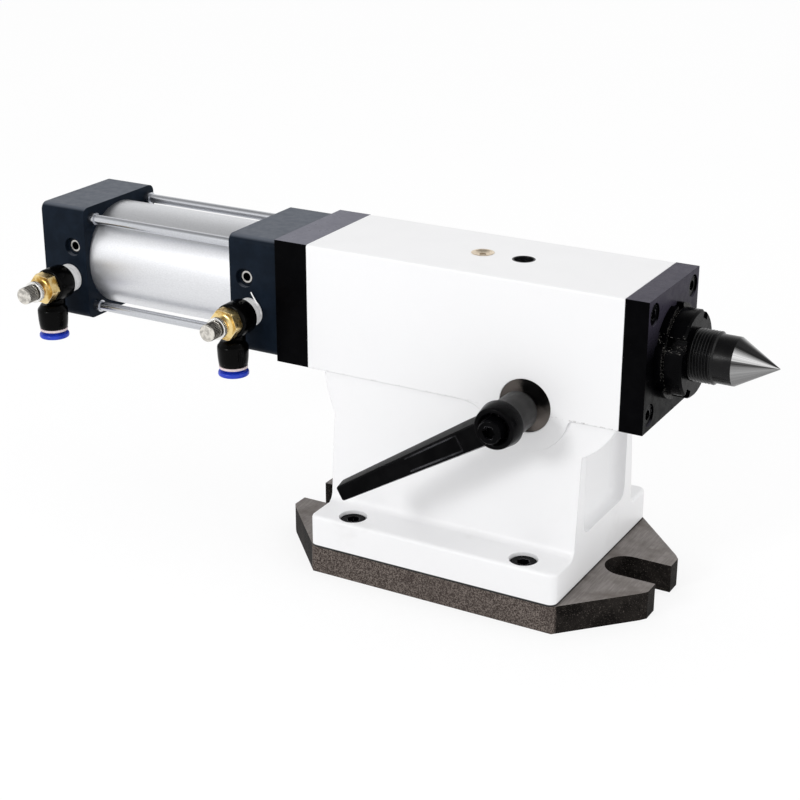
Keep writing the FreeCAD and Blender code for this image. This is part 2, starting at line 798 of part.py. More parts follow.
def front_flange():
    """Square flange with counterbored corners and a stepped bore."""
    owner = body("front_flange")
    drawn = sketch(owner, "YZ_Plane", "flange_outline")
    low = ("0 - housing_width / 2", "0 - housing_height / 2")
    rectangle(drawn, low, ("housing_width / 2", "housing_height / 2"))
    pad(owner, drawn, "flange_thickness")
    bore = sketch(owner, "YZ_Plane", "flange_bore")
    circle(bore, ("0", "0"), "quill_radius + ring_clearance")
    pocket(owner, bore, BIG, symmetric=True)
    seat = sketch(owner, "YZ_Plane", "flange_seat", "flange_thickness")
    circle(seat, ("0", "0"), "ring_neck_radius + thread_fit")
    pocket(owner, seat, "ring_neck_length + wiper_thickness")
    wells = sketch(owner, "YZ_Plane", "flange_wells", "flange_thickness")
    holes = sketch(owner, "YZ_Plane", "flange_holes", "flange_thickness")
    for spot in four_corners("flange_screw_pitch", "flange_screw_pitch"):
        circle(wells, spot, "flange_screw_well_radius")
        circle(holes, spot, "flange_screw_shank_radius + tie_rod_clearance")
    pocket(owner, wells, "flange_screw_well_depth")
    pocket(owner, holes, BIG)
    place(owner, (HOUSING_FRONT, "0", "centre_height"))


def flange_screws():
    """Four screws in the front flange."""
    seat = f"({FLANGE_FACE} - flange_screw_well_depth)"
    corners = four_corners("flange_screw_pitch", "flange_screw_pitch")
    places = [(seat, y, f"(centre_height + {z})") for y, z in corners]
    made = [socket_screw(f"flange_screw_{n}", "flange_screw", at, "-X") for n, at in enumerate(places)]
    group("flange_screws", made)


def wiper_seal():
    """Rubber wiper at the bottom of the flange's seat."""
    end = f"{FLANGE_FACE} - ring_neck_length"
    ring("wiper_seal", "X", f"{end} - wiper_thickness", end, "quill_radius + seal_fit", "ring_neck_radius",
         ("0", "0", "centre_height"))


def retaining_ring():
    """Ring screwed into the flange over the wiper, with six notches for a hook spanner."""
    owner = turned("retaining_ring", "X", [
        ("0 - ring_neck_length", "quill_radius + ring_clearance"),
        ("0 - ring_neck_length", "ring_neck_radius"),
        ("0", "ring_neck_radius"),
        ("0", "ring_head_radius"),
        ("ring_head_length", "ring_head_radius"),
        ("ring_head_length", "quill_radius + ring_clearance"),
    ], (FLANGE_FACE, "0", "centre_height"))
    notch = sketch(owner, "YZ_Plane", "ring_notch")
    rectangle(notch, ("0 - ring_notch_width / 2", "ring_head_radius - ring_notch_depth"),
              ("ring_notch_width / 2", "ring_head_radius * 2"))
    first = pocket(owner, notch, "ring_head_length", reverse=True)
    polar(owner, first, notch, "N_Axis", 6)


def draw_nut():
    """Draw-off nut on the centre, with four spanner slots."""
    owner = turned("draw_nut", "X", [
        ("0", "centre_thread_radius + thread_fit"),
        ("0", "nut_radius - nut_edge / 2"),
        ("nut_edge / 2", "nut_radius"),
        ("nut_thickness - nut_edge", "nut_radius"),
        ("nut_thickness", "nut_radius - nut_edge"),
        ("nut_thickness", "centre_thread_radius + thread_fit"),
    ], (QUILL_FACE, "0", "centre_height"))
    slot = sketch(owner, "YZ_Plane", "nut_slot")
    rectangle(slot, ("0 - nut_slot_width / 2", "nut_radius - nut_slot_depth"),
              ("nut_slot_width / 2", "nut_radius * 2"))
    first = pocket(owner, slot, BIG, symmetric=True)
    polar(owner, first, slot, "N_Axis", 4)
    place(owner, (QUILL_FACE, "0", "centre_height"), FreeCAD.Rotation(DIRECTIONS["+X"], -28))


def dead_centre():
    """Solid centre: taper shank, thread for the draw-off nut and a 60 degree point."""
    cone = "(centre_radius - centre_tip_radius) / tan(centre_half_angle * 1 deg)"
    turned("dead_centre", "X", [
        ("0 - socket_length + 1", "0"),
        ("0 - socket_length + 1", f"{TAPER_END_RADIUS} + 1 / socket_taper_ratio - taper_clearance"),
        ("0", "socket_radius - taper_clearance"),
        ("centre_thread_start", "socket_radius - taper_clearance"),
        ("centre_thread_start", "centre_thread_radius"),
        ("centre_thread_end", "centre_thread_radius"),
        ("centre_thread_end + 0.6", "centre_radius"),
        ("centre_cylinder_end", "centre_radius"),
        (f"centre_cylinder_end + {cone}", "centre_tip_radius"),
        (f"centre_cylinder_end + {cone}", "0"),
    ], (QUILL_FACE, "0", "centre_height"))


def quill():
    """Quill with a taper socket in front, a threaded hole behind and a key slot on top."""
    owner = turned("quill", "X", [
        ("0", "socket_radius"),
        ("0", "quill_radius"),
        ("0 - quill_length", "quill_radius"),
        ("0 - quill_length", "rod_nose_radius + thread_fit"),
        ("0 - quill_length + rod_nose_length + 2", "rod_nose_radius + thread_fit"),
        ("0 - quill_length + rod_nose_length + 2", "socket_relief_radius"),
        ("0 - socket_length", "socket_relief_radius"),
        ("0 - socket_length", TAPER_END_RADIUS),
    ], (QUILL_FACE, "0", "centre_height"))
    slot = sketch(owner, "XY_Plane", "key_slot", "quill_radius - key_slot_depth")
    front = f"key_screw_ahead + key_dog_radius + 1 - {QUILL_FACE}"
    rear = f"key_screw_ahead - key_dog_radius - 1 - quill_stroke - {QUILL_FACE}"
    rectangle(slot, (rear, "0 - key_slot_width / 2"), (front, "key_slot_width / 2"))
    pocket(owner, slot, BIG, reverse=True)


# Fittings on the housing

def key_screw():
    """Set screw whose dog keeps the quill from turning."""
    owner = turned("key_screw", "Z", [
        ("0 - 3", "0"),
        ("0 - 3", "key_dog_radius"),
        ("1", "key_dog_radius"),
        ("1", "key_screw_radius"),
        ("housing_height / 2 - quill_radius - 1.6", "key_screw_radius"),
        ("housing_height / 2 - quill_radius - 1.6", "0"),
    ], ("key_screw_ahead", "0", "(centre_height + quill_radius)"))
    key = sketch(owner, "XY_Plane", "key_screw_socket", "housing_height / 2 - quill_radius - 1.6")
    hexagon(key, "key_screw_radius")
    pocket(owner, key, "key_screw_radius")


def ball_oiler():
    """Press-in oiler: a turned body and the ball that closes it."""
    turned("oiler_body", "Z", [
        ("0 - oiler_length", "oiler_radius / 5"),
        ("0 - oiler_length", "oiler_radius - thread_fit"),
        ("0", "oiler_radius - thread_fit"),
        ("0", "oiler_radius / 2"),
        ("0 - oiler_radius / 3", "oiler_radius / 3"),
        ("0 - oiler_radius", "oiler_radius / 3"),
        ("0 - oiler_radius", "oiler_radius / 5"),
    ], ("oiler_ahead", "0", HOUSING_TOP))
    ball = doc.addObject("Part::Sphere", "ball")
    ball.setExpression("Radius", bound("oiler_radius / 3 - thread_fit"))
    place(ball, ("oiler_ahead", "0", f"{HOUSING_TOP} - oiler_radius / 3 * 2"))
    keep(ball, "oiler_ball")


# Quill clamp and lever

def clamp_shoe(label, start, end, bore):
    """One half of the split clamp: a round bush hollowed to the quill."""
    at = ("clamp_ahead", "0", CLAMP_HEIGHT)
    owner = ring(label, "Y", start, end, bore, "shoe_radius", at)
    hollow = sketch(owner, "YZ_Plane", label + "_hollow")
    circle(hollow, ("0", "clamp_drop"), "quill_radius + shoe_notch_gap")
    pocket(owner, hollow, BIG, symmetric=True)


def quill_clamp():
    """The two clamp halves, the stud through them and the sleeve on the stud under the lever."""
    at = ("clamp_ahead", "0", CLAMP_HEIGHT)
    clamp_shoe("clamp_bush_front", BUSH_FACE, "0 - shoe_split", "stud_radius + stud_clearance")
    rear_face = "housing_width / 2 - shoe_rear_recess"
    clamp_shoe("clamp_shoe_rear", "shoe_split", rear_face, "stud_radius + thread_fit")
    turned("clamp_stud", "Y", [
        ("housing_width / 2 - stud_rear_recess", "0"),
        ("housing_width / 2 - stud_rear_recess", "stud_radius"),
        (SLEEVE_FLOOR, "stud_radius"),
        (SLEEVE_FLOOR, "lever_screw_radius + thread_fit"),
        (f"{SLEEVE_FLOOR} + lever_screw_thread * 1.2", "lever_screw_radius + thread_fit"),
        (f"{SLEEVE_FLOOR} + lever_screw_thread * 1.2", "0"),
    ], at)
    turned("lever_sleeve", "Y", [
        (SLEEVE_REAR, "stud_radius + thread_fit"),
        (SLEEVE_REAR, "sleeve_radius"),
        (HUB_FACE, "sleeve_radius"),
        (HUB_FACE, "sleeve_well_radius"),
        (SLEEVE_FLOOR, "sleeve_well_radius"),
        (SLEEVE_FLOOR, "stud_radius + thread_fit"),
    ], at)


def lever_frame():
    """Rotation that stands the lever's own z along -Y and its own x along the arm."""
    lean = math.radians(number("lever_angle"))
    along = FreeCAD.Vector(-math.cos(lean), 0, -math.sin(lean))
    out = DIRECTIONS["-Y"]
    return FreeCAD.Rotation(along, out.cross(along), out, "ZXY")


def arm_section(owner, name, along, middle, back, front, thickness):
    """Cross section of the arm: wider at the back than in front, with rounded corners."""
    drawn = sketch(owner, "YZ_Plane", name, along)
    low = f"{middle} - {thickness} / 2"
    high = f"{middle} + {thickness} / 2"
    edge = "lever_edge"
    slope = f"({back} - {front}) / 2 / {thickness} * {edge}"
    right = [
        (f"{back} / 2 - {edge}", low, edge),
        (f"{back} / 2 - {slope}", f"{low} + {edge}"),
        (f"{front} / 2 + {slope}", f"{high} - {edge}", edge),
        (f"{front} / 2 - {edge}", high),
    ]
    left = [(f"0 - ({corner[0]})", corner[1]) for corner in reversed(right)]
    outline(drawn, right + [left[0] + (edge,), left[1], left[2] + (edge,), left[3]])
    return drawn


def lever_handle():
    """Die-cast lever: a low hub, a boss behind it that reaches into the sleeve, and a rising arm."""
    owner = body("lever_handle")
    root = arm_section(owner, "arm_root", "0", "lever_root_centre", "lever_root_back", "lever_root_front",
                       "lever_root_thickness")
    slope = "(lever_root_back - lever_root_front) / lever_root_thickness"
    front = f"(lever_tip_back - {slope} * lever_tip_thickness)"
    tip = arm_section(owner, "arm_tip", "lever_reach", "lever_root_centre + lever_rise",
                      "lever_tip_back", front, "lever_tip_thickness")
    arm = owner.newObject("PartDesign::AdditiveLoft", "arm")
    arm.Profile = root
    arm.Sections = [tip]
    arm.Ruled = True
    settle(owner, arm, True)
    under = sketch(owner, "XY_Plane", "arm_underside")
    rectangle(under, ("0 - hub_foot_radius * 2", "0 - hub_foot_radius * 2"),
              ("hub_foot_radius * 2", "hub_foot_radius * 2"))
    pocket(owner, under, "lever_root_thickness * 2")
    end = "0 - sleeve_well_depth + hub_clearance"
    step = "0 - sleeve_well_depth + insert_length + stud_clearance"
    hub = sketch(owner, "XZ_Plane", "lever_hub")
    outline(hub, [
        ("0", end),
        ("insert_bore_radius - hub_clearance", end),
        ("insert_bore_radius - hub_clearance", step),
        ("sleeve_well_radius - hub_clearance", step),
        ("sleeve_well_radius - hub_clearance", "0"),
        ("hub_foot_radius", "0"),
        ("hub_top_radius", "hub_height"),
        ("0", "hub_height"),
    ])
    revolve(owner, hub, "V_Axis")
    for name, radius, low, high in (
        ("well", "hub_well_radius", "hub_well_floor", "hub_height * 2"),
        ("chamber", "hub_chamber_radius", f"{end} + hub_web", "hub_height"),
        ("hole", "lever_screw_radius + hub_clearance", "0 - sleeve_well_depth * 2", "hub_height"),
    ):
        drawn = sketch(owner, "XY_Plane", "lever_" + name, low)
        circle(drawn, ("0", "0"), radius)
        pocket(owner, drawn, f"{high} - ({low})", reverse=True)
    place(owner, ("clamp_ahead", HUB_FACE, CLAMP_HEIGHT), lever_frame())


def lever_fittings():
    """The toothed insert in the sleeve, the retaining screw and the spring that pulls the lever home."""
    at = ("clamp_ahead", HUB_FACE, CLAMP_HEIGHT)
    ring("lever_insert", "Y", "sleeve_well_depth", "sleeve_well_depth - insert_length", "insert_bore_radius",
         "sleeve_well_radius - thread_fit", at)
    top = "hub_height + lever_screw_head_rise"
    under = f"{top} - lever_screw_head_length"
    owner = turned("lever_screw", "Y", [
        ("sleeve_well_depth + lever_screw_thread", "0"),
        ("sleeve_well_depth + lever_screw_thread", "lever_screw_radius"),
        (f"0 - ({under})", "lever_screw_radius"),
        (f"0 - ({under})", "lever_screw_head_radius"),
        (f"0 - ({top}) + 0.5", "lever_screw_head_radius"),
        (f"0 - ({top})", "lever_screw_head_radius - 0.5"),
        (f"0 - ({top})", "0"),
    ], at)
    key = sketch(owner, "XZ_Plane", "lever_screw_key", top)
    hexagon(key, "lever_screw_head_radius")
    pocket(owner, key, "lever_screw_head_length / 2")
    ring("lever_spring", "Y", f"0 - ({under}) + 0.1", "sleeve_well_depth - hub_clearance - hub_web - 0.1",
         "lever_screw_radius * 1.2", "hub_chamber_radius - hub_clearance", at)


# Cylinder

def adapter_plate():
    """Block between the housing and the cylinder, with the rod's clearance bore."""
    owner = body("adapter_plate")
    drawn = sketch(owner, "YZ_Plane", "adapter_outline")
    low = ("0 - housing_width / 2", "0 - housing_height / 2")
    rectangle(drawn, low, ("housing_width / 2", "housing_height / 2"))
    pad(owner, drawn, "adapter_length")
    holes = sketch(owner, "YZ_Plane", "adapter_holes")
    circle(holes, ("0", "0"), "adapter_bore_radius")
    for spot in four_corners("tie_rod_pitch", "tie_rod_pitch"):
        circle(holes, spot, "tie_rod_radius + tie_rod_clearance")
    pocket(owner, holes, BIG, symmetric=True)
    place(owner, (ADAPTER_REAR, "0", "centre_height"))


def cap(which):
    """A cylinder cap: rounded square block, spigot, cushion chamber, port and needle hole.

    It is drawn with its inner face at the origin and its body along +X, and turned about for the rear."""
    owner = body(f"{which}_cap")
    drawn = sketch(owner, "YZ_Plane", f"{which}_cap_outline")
    rectangle(drawn, ("0 - cap_size / 2", "0 - cap_size / 2"), ("cap_size / 2", "cap_size / 2"))
    pad(owner, drawn, "cap_length")
    soften(owner, "Fillet", "cap_corner", lambda edge, middle: runs_along(edge, "X"))
    spigot = sketch(owner, "YZ_Plane", f"{which}_spigot")
    circle(spigot, ("0", "0"), "bore_radius - spigot_clearance")
    pad(owner, spigot, "cap_spigot", reverse=True)
    chamber = sketch(owner, "YZ_Plane", f"{which}_chamber", "0 - cap_spigot")
    circle(chamber, ("0", "0"), "cushion_bore_radius")
    pocket(owner, chamber, "cushion_bore_depth", reverse=True)
    wire = "seal_wire_radius * 1.1"
    floor = "bore_radius - seal_wire_radius * 2 - seal_fit * 2"
    turned_groove(owner, f"{which}_tube_seal_groove", (f"0 - cap_spigot / 2 - {wire}", floor),
                  (f"0 - cap_spigot / 2 + {wire}", "bore_radius + 2"))
    turned_groove(owner, f"{which}_cushion_groove", ("cushion_seal_start", "cushion_bore_radius / 2"),
                  ("cushion_seal_start + cushion_seal_length", "cushion_bore_radius + cushion_seal_depth"))
    holes = sketch(owner, "YZ_Plane", f"{which}_rod_holes")
    for spot in four_corners("tie_rod_pitch", "tie_rod_pitch"):
        circle(holes, spot, "tie_rod_radius + tie_rod_clearance")
    pocket(owner, holes, BIG, symmetric=True)
    # The rear cap is the front one turned round, so its lever side is the other way
    toward = "0 + " if which == "front" else "0 - "
    face = f"{toward}cap_size / 2"
    inwards = which == "rear"
    for name, along, up, radius, depth in (
        ("port", "port_inset", "0 - port_drop", "stem_thread_radius + thread_fit", "port_thread_depth"),
        ("passage", "port_inset", "0 - port_drop", "passage_radius", "cap_size / 2 - cushion_bore_radius / 2"),
        ("well", "cushion_inset", "cushion_rise", "cushion_well_radius", "cushion_well_depth"),
        ("needle", "cushion_inset", "cushion_rise", "needle_radius + needle_fit",
         "cushion_well_depth + needle_body_length + 4"),
    ):
        hole = sketch(owner, "XZ_Plane", f"{which}_{name}", face)
        circle(hole, (along, up), radius)
        pocket(owner, hole, depth, reverse=inwards)
    return owner


def front_cap():
    """Front cap, with the seats of the rod's bush and seal."""
    owner = cap("front")
    bush = sketch(owner, "YZ_Plane", "bush_seat")
    circle(bush, ("0", "0"), "bush_radius")
    pocket(owner, bush, "cap_length", reverse=True)
    seal = sketch(owner, "YZ_Plane", "rod_seal_seat", "cap_length")
    circle(seal, ("0", "0"), "rod_seal_radius")
    pocket(owner, seal, "rod_seal_length")
    place(owner, (FRONT_CAP_REAR, "0", "centre_height"))


def rear_cap():
    """Rear cap, with the wells of the tie rods' end nuts."""
    owner = cap("rear")
    wells = sketch(owner, "YZ_Plane", "end_nut_wells", "cap_length")
    for spot in four_corners("tie_rod_pitch", "tie_rod_pitch"):
        circle(wells, spot, "end_nut_well_radius")
    pocket(owner, wells, "end_nut_well_depth")
    place(owner, (REAR_CAP_FRONT, "0", "centre_height"), FreeCAD.Rotation(DIRECTIONS["+Z"], 180))


def tube_and_seals():
    """The cylinder's tube and the ring seals of the two spigots."""
    at = ("0", "0", "centre_height")
    ring("cylinder_tube", "X", REAR_CAP_FRONT, FRONT_CAP_REAR, "bore_radius", "tube_radius", at)
    middle = "bore_radius - seal_wire_radius - seal_fit"
    seals = [
        torus("tube_seal_rear", middle, "seal_wire_radius",
              (f"{REAR_CAP_FRONT} + cap_spigot / 2", "0", "centre_height")),
        torus("tube_seal_front", middle, "seal_wire_radius",
              (f"{FRONT_CAP_REAR} - cap_spigot / 2", "0", "centre_height")),
    ]
    group("tube_seals", seals)


def tie_rods():
    """Four tie rods screwed into the housing, with a collar before the rear cap and a nut behind it."""
    rods, collars, nuts = [], [], []
    start = f"({REAR_CAP_REAR} + end_nut_well_depth - end_nut_length - 0.5)"
    seat = f"({REAR_CAP_REAR} + end_nut_well_depth)"
    for index, (y, z) in enumerate(four_corners("tie_rod_pitch", "tie_rod_pitch")):
        height = f"(centre_height + {z})"
        length = f"{HOUSING_REAR} + tie_rod_thread - {start}"
        rods.append(cylinder(f"tie_rod_{index}", "tie_rod_radius", length, (start, y, height), "+X"))
        at = (REAR_CAP_FRONT, y, height)
        blank = cylinder(f"collar_blank_{index}", "collar_radius", "collar_length", at, "+X")
        hole = cylinder(f"collar_hole_{index}", "tie_rod_radius + thread_fit", "collar_length", at, "+X")
        collars.append(cut(f"collar_{index}", blank, hole))
        at = (seat, y, height)
        nut = hexagonal_bar(f"end_nut_blank_{index}", "end_nut_flats", "end_nut_length", at, "-X")
        hole = cylinder(f"end_nut_hole_{index}", "tie_rod_radius + thread_fit", "end_nut_length", at, "-X")
        nuts.append(cut(f"end_nut_{index}", nut, hole))
    group("tie_rods", rods)
    group("tie_rod_collars", collars)
    group("tie_rod_end_nuts", nuts)


def cushion_seals():
    """The seals that close round the cushion spears, one in each cap."""
    made = []
    for name, start in (
        ("front", f"({FRONT_CAP_REAR} + cushion_seal_start)"),
        ("rear", f"({REAR_CAP_FRONT} - cushion_seal_start - cushion_seal_length)"),
    ):
        at = (start, "0", "centre_height")
        blank = cylinder(f"cushion_blank_{name}", "cushion_bore_radius + cushion_seal_depth",
                         "cushion_seal_length", at, "+X")
        hole = cylinder(f"cushion_hole_{name}", "spear_radius + seal_fit", "cushion_seal_length", at, "+X")
        made.append(cut(f"cushion_seal_{name}", blank, hole))
    group("cushion_seals", made)


def rod_guides():
    """Bush and seal of the rod in the front cap."""
    at = ("0", "0", "centre_height")
    seal_start = f"({ADAPTER_REAR} - rod_seal_length)"
    bush_start = f"{seal_start} - bush_length"
    ring("rod_bush", "X", bush_start, seal_start, "rod_radius + rod_clearance", "bush_radius", at)
    ring("rod_seal", "X", seal_start, ADAPTER_REAR, "rod_radius + seal_fit", "rod_seal_radius", at)


def piston_group():
    """Piston rod, piston, its two lip seals, its nut and the two cushion spears."""
    at = ("0", "0", "centre_height")
    nut_face = f"({PISTON_REAR} - piston_nut_length)"
    neck = "rod_nose_radius"
    piston_front = f"({PISTON_REAR} + piston_length)"
    turned("piston_rod", "X", [
        (nut_face, "0"),
        (nut_face, neck),
        (piston_front, neck),
        (piston_front, "rod_radius"),
        (QUILL_REAR, "rod_radius"),
        (QUILL_REAR, neck),
        (f"{QUILL_REAR} + rod_nose_length", neck),
        (f"{QUILL_REAR} + rod_nose_length", "0"),
    ], at)
    outer = "bore_radius - piston_clearance"
    floor = "bore_radius - lip_seal_depth"
    first = f"({PISTON_REAR} + 3)"
    second = f"({piston_front} - 3 - lip_seal_length)"
    turned("piston", "X", [
        (PISTON_REAR, f"{neck} + thread_fit"),
        (PISTON_REAR, outer),
        (first, outer),
        (first, floor),
        (f"{first} + lip_seal_length", floor),
        (f"{first} + lip_seal_length", outer),
        (second, outer),
        (second, floor),
        (f"{second} + lip_seal_length", floor),
        (f"{second} + lip_seal_length", outer),
        (piston_front, outer),
        (piston_front, f"{neck} + thread_fit"),
    ], at)
    seals = []
    for index, start in enumerate((first, second)):
        spot = (start, "0", "centre_height")
        blank = cylinder(f"lip_blank_{index}", "bore_radius - seal_fit", "lip_seal_length", spot, "+X")
        hole = cylinder(f"lip_hole_{index}", f"{floor} + thread_fit", "lip_seal_length", spot, "+X")
        seals.append(cut(f"lip_seal_{index}", blank, hole))
    group("piston_seals", seals)
    ring("cushion_spear_front", "X", piston_front, f"{piston_front} + spear_length", "rod_radius + thread_fit",
         "spear_radius", at)
    turned("piston_nut", "X", [
        (f"{PISTON_REAR} - spear_length", "0"),
        (f"{PISTON_REAR} - spear_length", "spear_radius"),
        (PISTON_REAR, "spear_radius"),
        (PISTON_REAR, f"{neck} + thread_fit"),
        (nut_face, f"{neck} + thread_fit"),
        (nut_face, "0"),
    ], at)


def cushion_needle(which):
    """Screw that sets the cushioning, in its well on the cap's lever side."""
    at = (CAPS[which]["cushion"], CAP_FACE, CUSHION_HEIGHT)
    end = "cushion_well_depth + needle_body_length"
    owner = turned(f"cushion_needle_{which}", "Y", [
        ("cushion_well_depth", "0"),
        ("cushion_well_depth", "needle_radius"),
        (end, "needle_radius"),
        (f"{end} + 3", "needle_radius / 3"),
        (f"{end} + 3", "0"),
    ], at)
    key = sketch(owner, "XZ_Plane", f"needle_key_{which}", "0 - cushion_well_depth")
    hexagon(key, "needle_radius")
    pocket(owner, key, "needle_radius", reverse=False)


# Speed controllers

def elbow(which, at):
    """Swivel elbow: a ring round the stem and a barrel for the air tube."""
    name = f"{which}_elbow"
    near = "(washer_thickness + elbow_face_gap)"
    far = f"({near} + elbow_ring_length)"
    owner = ring(name, "Y", f"0 - {near}", f"0 - {far}", "stem_journal_radius + swivel_clearance",
                 "elbow_ring_radius", at)
    barrel = sketch(owner, "XY_Plane", name + "_barrel")
    circle(barrel, ("0", "0 - barrel_offset"), "barrel_radius")
    pad(owner, barrel, "barrel_drop", reverse=True)
    relief = sketch(owner, "XY_Plane", name + "_relief", "barrel_radius * 2")
    low = ("0 - barrel_radius * 2", f"0 - {far} - barrel_radius * 2")
    rectangle(relief, low, ("barrel_radius * 2", f"0 - {far}"))
    pocket(owner, relief, "barrel_radius * 2 + stem_hex_flats / sqrt(3) + swivel_clearance * 5")
    bore = sketch(owner, "XZ_Plane", name + "_bore")
    circle(bore, ("0", "0"), "stem_journal_radius + swivel_clearance")
    pocket(owner, bore, BIG, symmetric=True)
    socket = sketch(owner, "XY_Plane", name + "_socket", "0 - barrel_drop")
    circle(socket, ("0", "0 - barrel_offset"), "barrel_bore_radius")
    pocket(owner, socket, "barrel_bore_depth", reverse=True)
    air = sketch(owner, "XY_Plane", name + "_air", "0 - barrel_drop")
    circle(air, ("0", "0 - barrel_offset"), "passage_radius")
    pocket(owner, air, "barrel_drop", reverse=True)
    drop = number("barrel_drop")
    edge_radius = number("barrel_radius")
    soften(owner, "Chamfer", "knob_edge", lambda edge, middle: abs(middle.z + drop) < 1e-3
           and hasattr(edge.Curve, "Radius") and abs(edge.Curve.Radius - edge_radius) < 1e-3)


def collet(which, at):
    """Release collet of the tube socket, its retainer and the seal round the tube."""
    x, y, z = at
    mouth = (x, f"({y} - barrel_offset)", f"({z} - barrel_drop)")
    ring(f"{which}_retainer", "Z", "0 - retainer_thickness", "0", "collet_tube_radius + stud_clearance",
         "barrel_radius - 0.4", mouth)
    under = "(0 - retainer_thickness - collet_travel)"
    turned(f"{which}_collet", "Z", [
        ("barrel_bore_depth / 2", "air_tube_radius"),
        ("barrel_bore_depth / 2", "collet_tube_radius"),
        (under, "collet_tube_radius"),
        (under, "collet_flange_radius - 1"),
        (f"{under} - 1", "collet_flange_radius"),
        (f"{under} - collet_flange_thickness", "collet_flange_radius"),
        (f"{under} - collet_flange_thickness", "air_tube_radius"),
    ], mouth)
    ring(f"{which}_tube_seal", "Z", "barrel_bore_depth - 2.5", "barrel_bore_depth - 0.1", "air_tube_radius",
         "barrel_bore_radius - thread_fit", mouth)


def stem(which, at):
    """Brass banjo stem with its hexagon, neck and the tail for the lock ring."""
    far = "(washer_thickness + elbow_face_gap * 2 + elbow_ring_length)"
    hex_end = f"({far} + stem_hex_thickness)"
    neck_end = f"({hex_end} + neck_length)"
    tail_end = f"({neck_end} + stem_tail_length)"
    owner = turned(f"{which}_stem", "Y", [
        ("port_thread_depth - 1", "stem_bore_radius"),
        ("port_thread_depth - 1", "stem_thread_radius"),
        ("0", "stem_thread_radius"),
        ("0", "stem_journal_radius"),
        (f"0 - {far}", "stem_journal_radius"),
        (f"0 - {hex_end}", "stem_journal_radius"),
        (f"0 - {hex_end}", "neck_radius"),
        (f"0 - {neck_end}", "neck_radius"),
        (f"0 - {neck_end}", "stem_tail_radius"),
        (f"0 - {tail_end}", "stem_tail_radius"),
        (f"0 - {tail_end}", "stem_bore_radius"),
    ], at)
    cross = sketch(owner, "XY_Plane", f"{which}_stem_cross_hole")
    circle(cross, ("0", "0 - barrel_offset"), "stem_bore_radius / 2")
    pocket(owner, cross, BIG, symmetric=True)
    nut = sketch(owner, "XZ_Plane", f"{which}_stem_hexagon", far)
    hexagon(nut, "stem_hex_flats")
    circle(nut, ("0", "0"), "stem_journal_radius - 1")
    pad(owner, nut, "stem_hex_thickness")
    bore = "stem_journal_radius + thread_fit"
    ring(f"{which}_washer", "Y", "0", "0 - washer_thickness", bore, "washer_radius", at)
    ring(f"{which}_lock_ring", "Y", f"0 - {neck_end}", f"0 - {neck_end} - lock_ring_thickness",
         "stem_tail_radius + swivel_clearance", "lock_ring_radius", at)
    turned(f"{which}_knob", "Y", [
        ("0", "0"),
        ("0", "stem_bore_radius - swivel_clearance"),
        (f"0 - {tail_end} - 0.1", "stem_bore_radius - swivel_clearance"),
        (f"0 - {tail_end} - 0.1", "knob_radius"),
        (f"0 - {tail_end} - knob_length + knob_edge", "knob_radius"),
        (f"0 - {tail_end} - knob_length", "knob_radius - knob_edge"),
        (f"0 - {tail_end} - knob_length", "0"),
    ], at)


def speed_controller(which):
    """All the pieces of one speed controller on a cap's port."""
    at = (CAPS[which]["port"], CAP_FACE, PORT_HEIGHT)
    stem(which, at)
    elbow(which, at)
    collet(which, at)


# Build and write

def check_and_write():
    """Refuse a failed object or an invalid shape, then write each piece to its own file."""
    doc.recompute()
    failed = [item.Name for item in doc.Objects if {"Invalid", "Error"} & set(item.State)]
    if failed:
        raise ValueError(f"failed objects: {failed}")
    for node in nodes:
        if node.Shape.isNull() or not node.Shape.isValid():
            raise ValueError(f"bad shape: {node.Label}")
    os.makedirs("parts", exist_ok=True)
    for node in nodes:
        node.Shape.exportStep(f"parts/{node.Label}.step")
    print(len(nodes), "pieces written")


fill_sheet()
base_plate()
housing()
foot_screws()
front_flange()
flange_screws()
wiper_seal()
retaining_ring()
quill()
dead_centre()
draw_nut()
key_screw()
ball_oiler()
quill_clamp()
lever_handle()
lever_fittings()
adapter_plate()
front_cap()
rear_cap()
tube_and_seals()
tie_rods()
rod_guides()
cushion_seals()
piston_group()
for end_name in CAPS:
    cushion_needle(end_name)
    speed_controller(end_name)
check_and_write()
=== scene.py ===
import math

import bpy
from mathutils import Matrix, Vector


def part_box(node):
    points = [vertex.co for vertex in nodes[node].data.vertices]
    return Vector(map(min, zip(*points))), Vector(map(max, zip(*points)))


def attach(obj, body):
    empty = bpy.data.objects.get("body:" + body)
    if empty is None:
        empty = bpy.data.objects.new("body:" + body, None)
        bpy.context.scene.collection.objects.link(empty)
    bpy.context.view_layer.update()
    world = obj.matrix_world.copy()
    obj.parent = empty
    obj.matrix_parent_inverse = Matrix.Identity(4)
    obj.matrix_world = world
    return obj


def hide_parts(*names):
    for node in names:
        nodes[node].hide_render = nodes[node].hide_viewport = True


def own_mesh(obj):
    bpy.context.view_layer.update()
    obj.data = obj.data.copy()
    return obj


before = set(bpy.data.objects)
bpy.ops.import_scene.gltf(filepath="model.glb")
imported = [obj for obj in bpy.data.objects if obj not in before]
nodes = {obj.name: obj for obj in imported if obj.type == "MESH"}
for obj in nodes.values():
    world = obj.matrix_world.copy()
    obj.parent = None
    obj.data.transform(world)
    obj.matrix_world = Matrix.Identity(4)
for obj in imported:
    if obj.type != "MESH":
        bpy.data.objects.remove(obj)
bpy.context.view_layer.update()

MM = 0.001

# The axes of a turned shape: the way along it, then the two ways across
ALONG_X = (Vector((1, 0, 0)), Vector((0, 1, 0)), Vector((0, 0, 1)))
ALONG_Y_OUT = (Vector((0, -1, 0)), Vector((1, 0, 0)), Vector((0, 0, 1)))
ALONG_Z = (Vector((0, 0, 1)), Vector((1, 0, 0)), Vector((0, 1, 0)))

X, Y, Z = range(3)
LOW, HIGH = range(2)


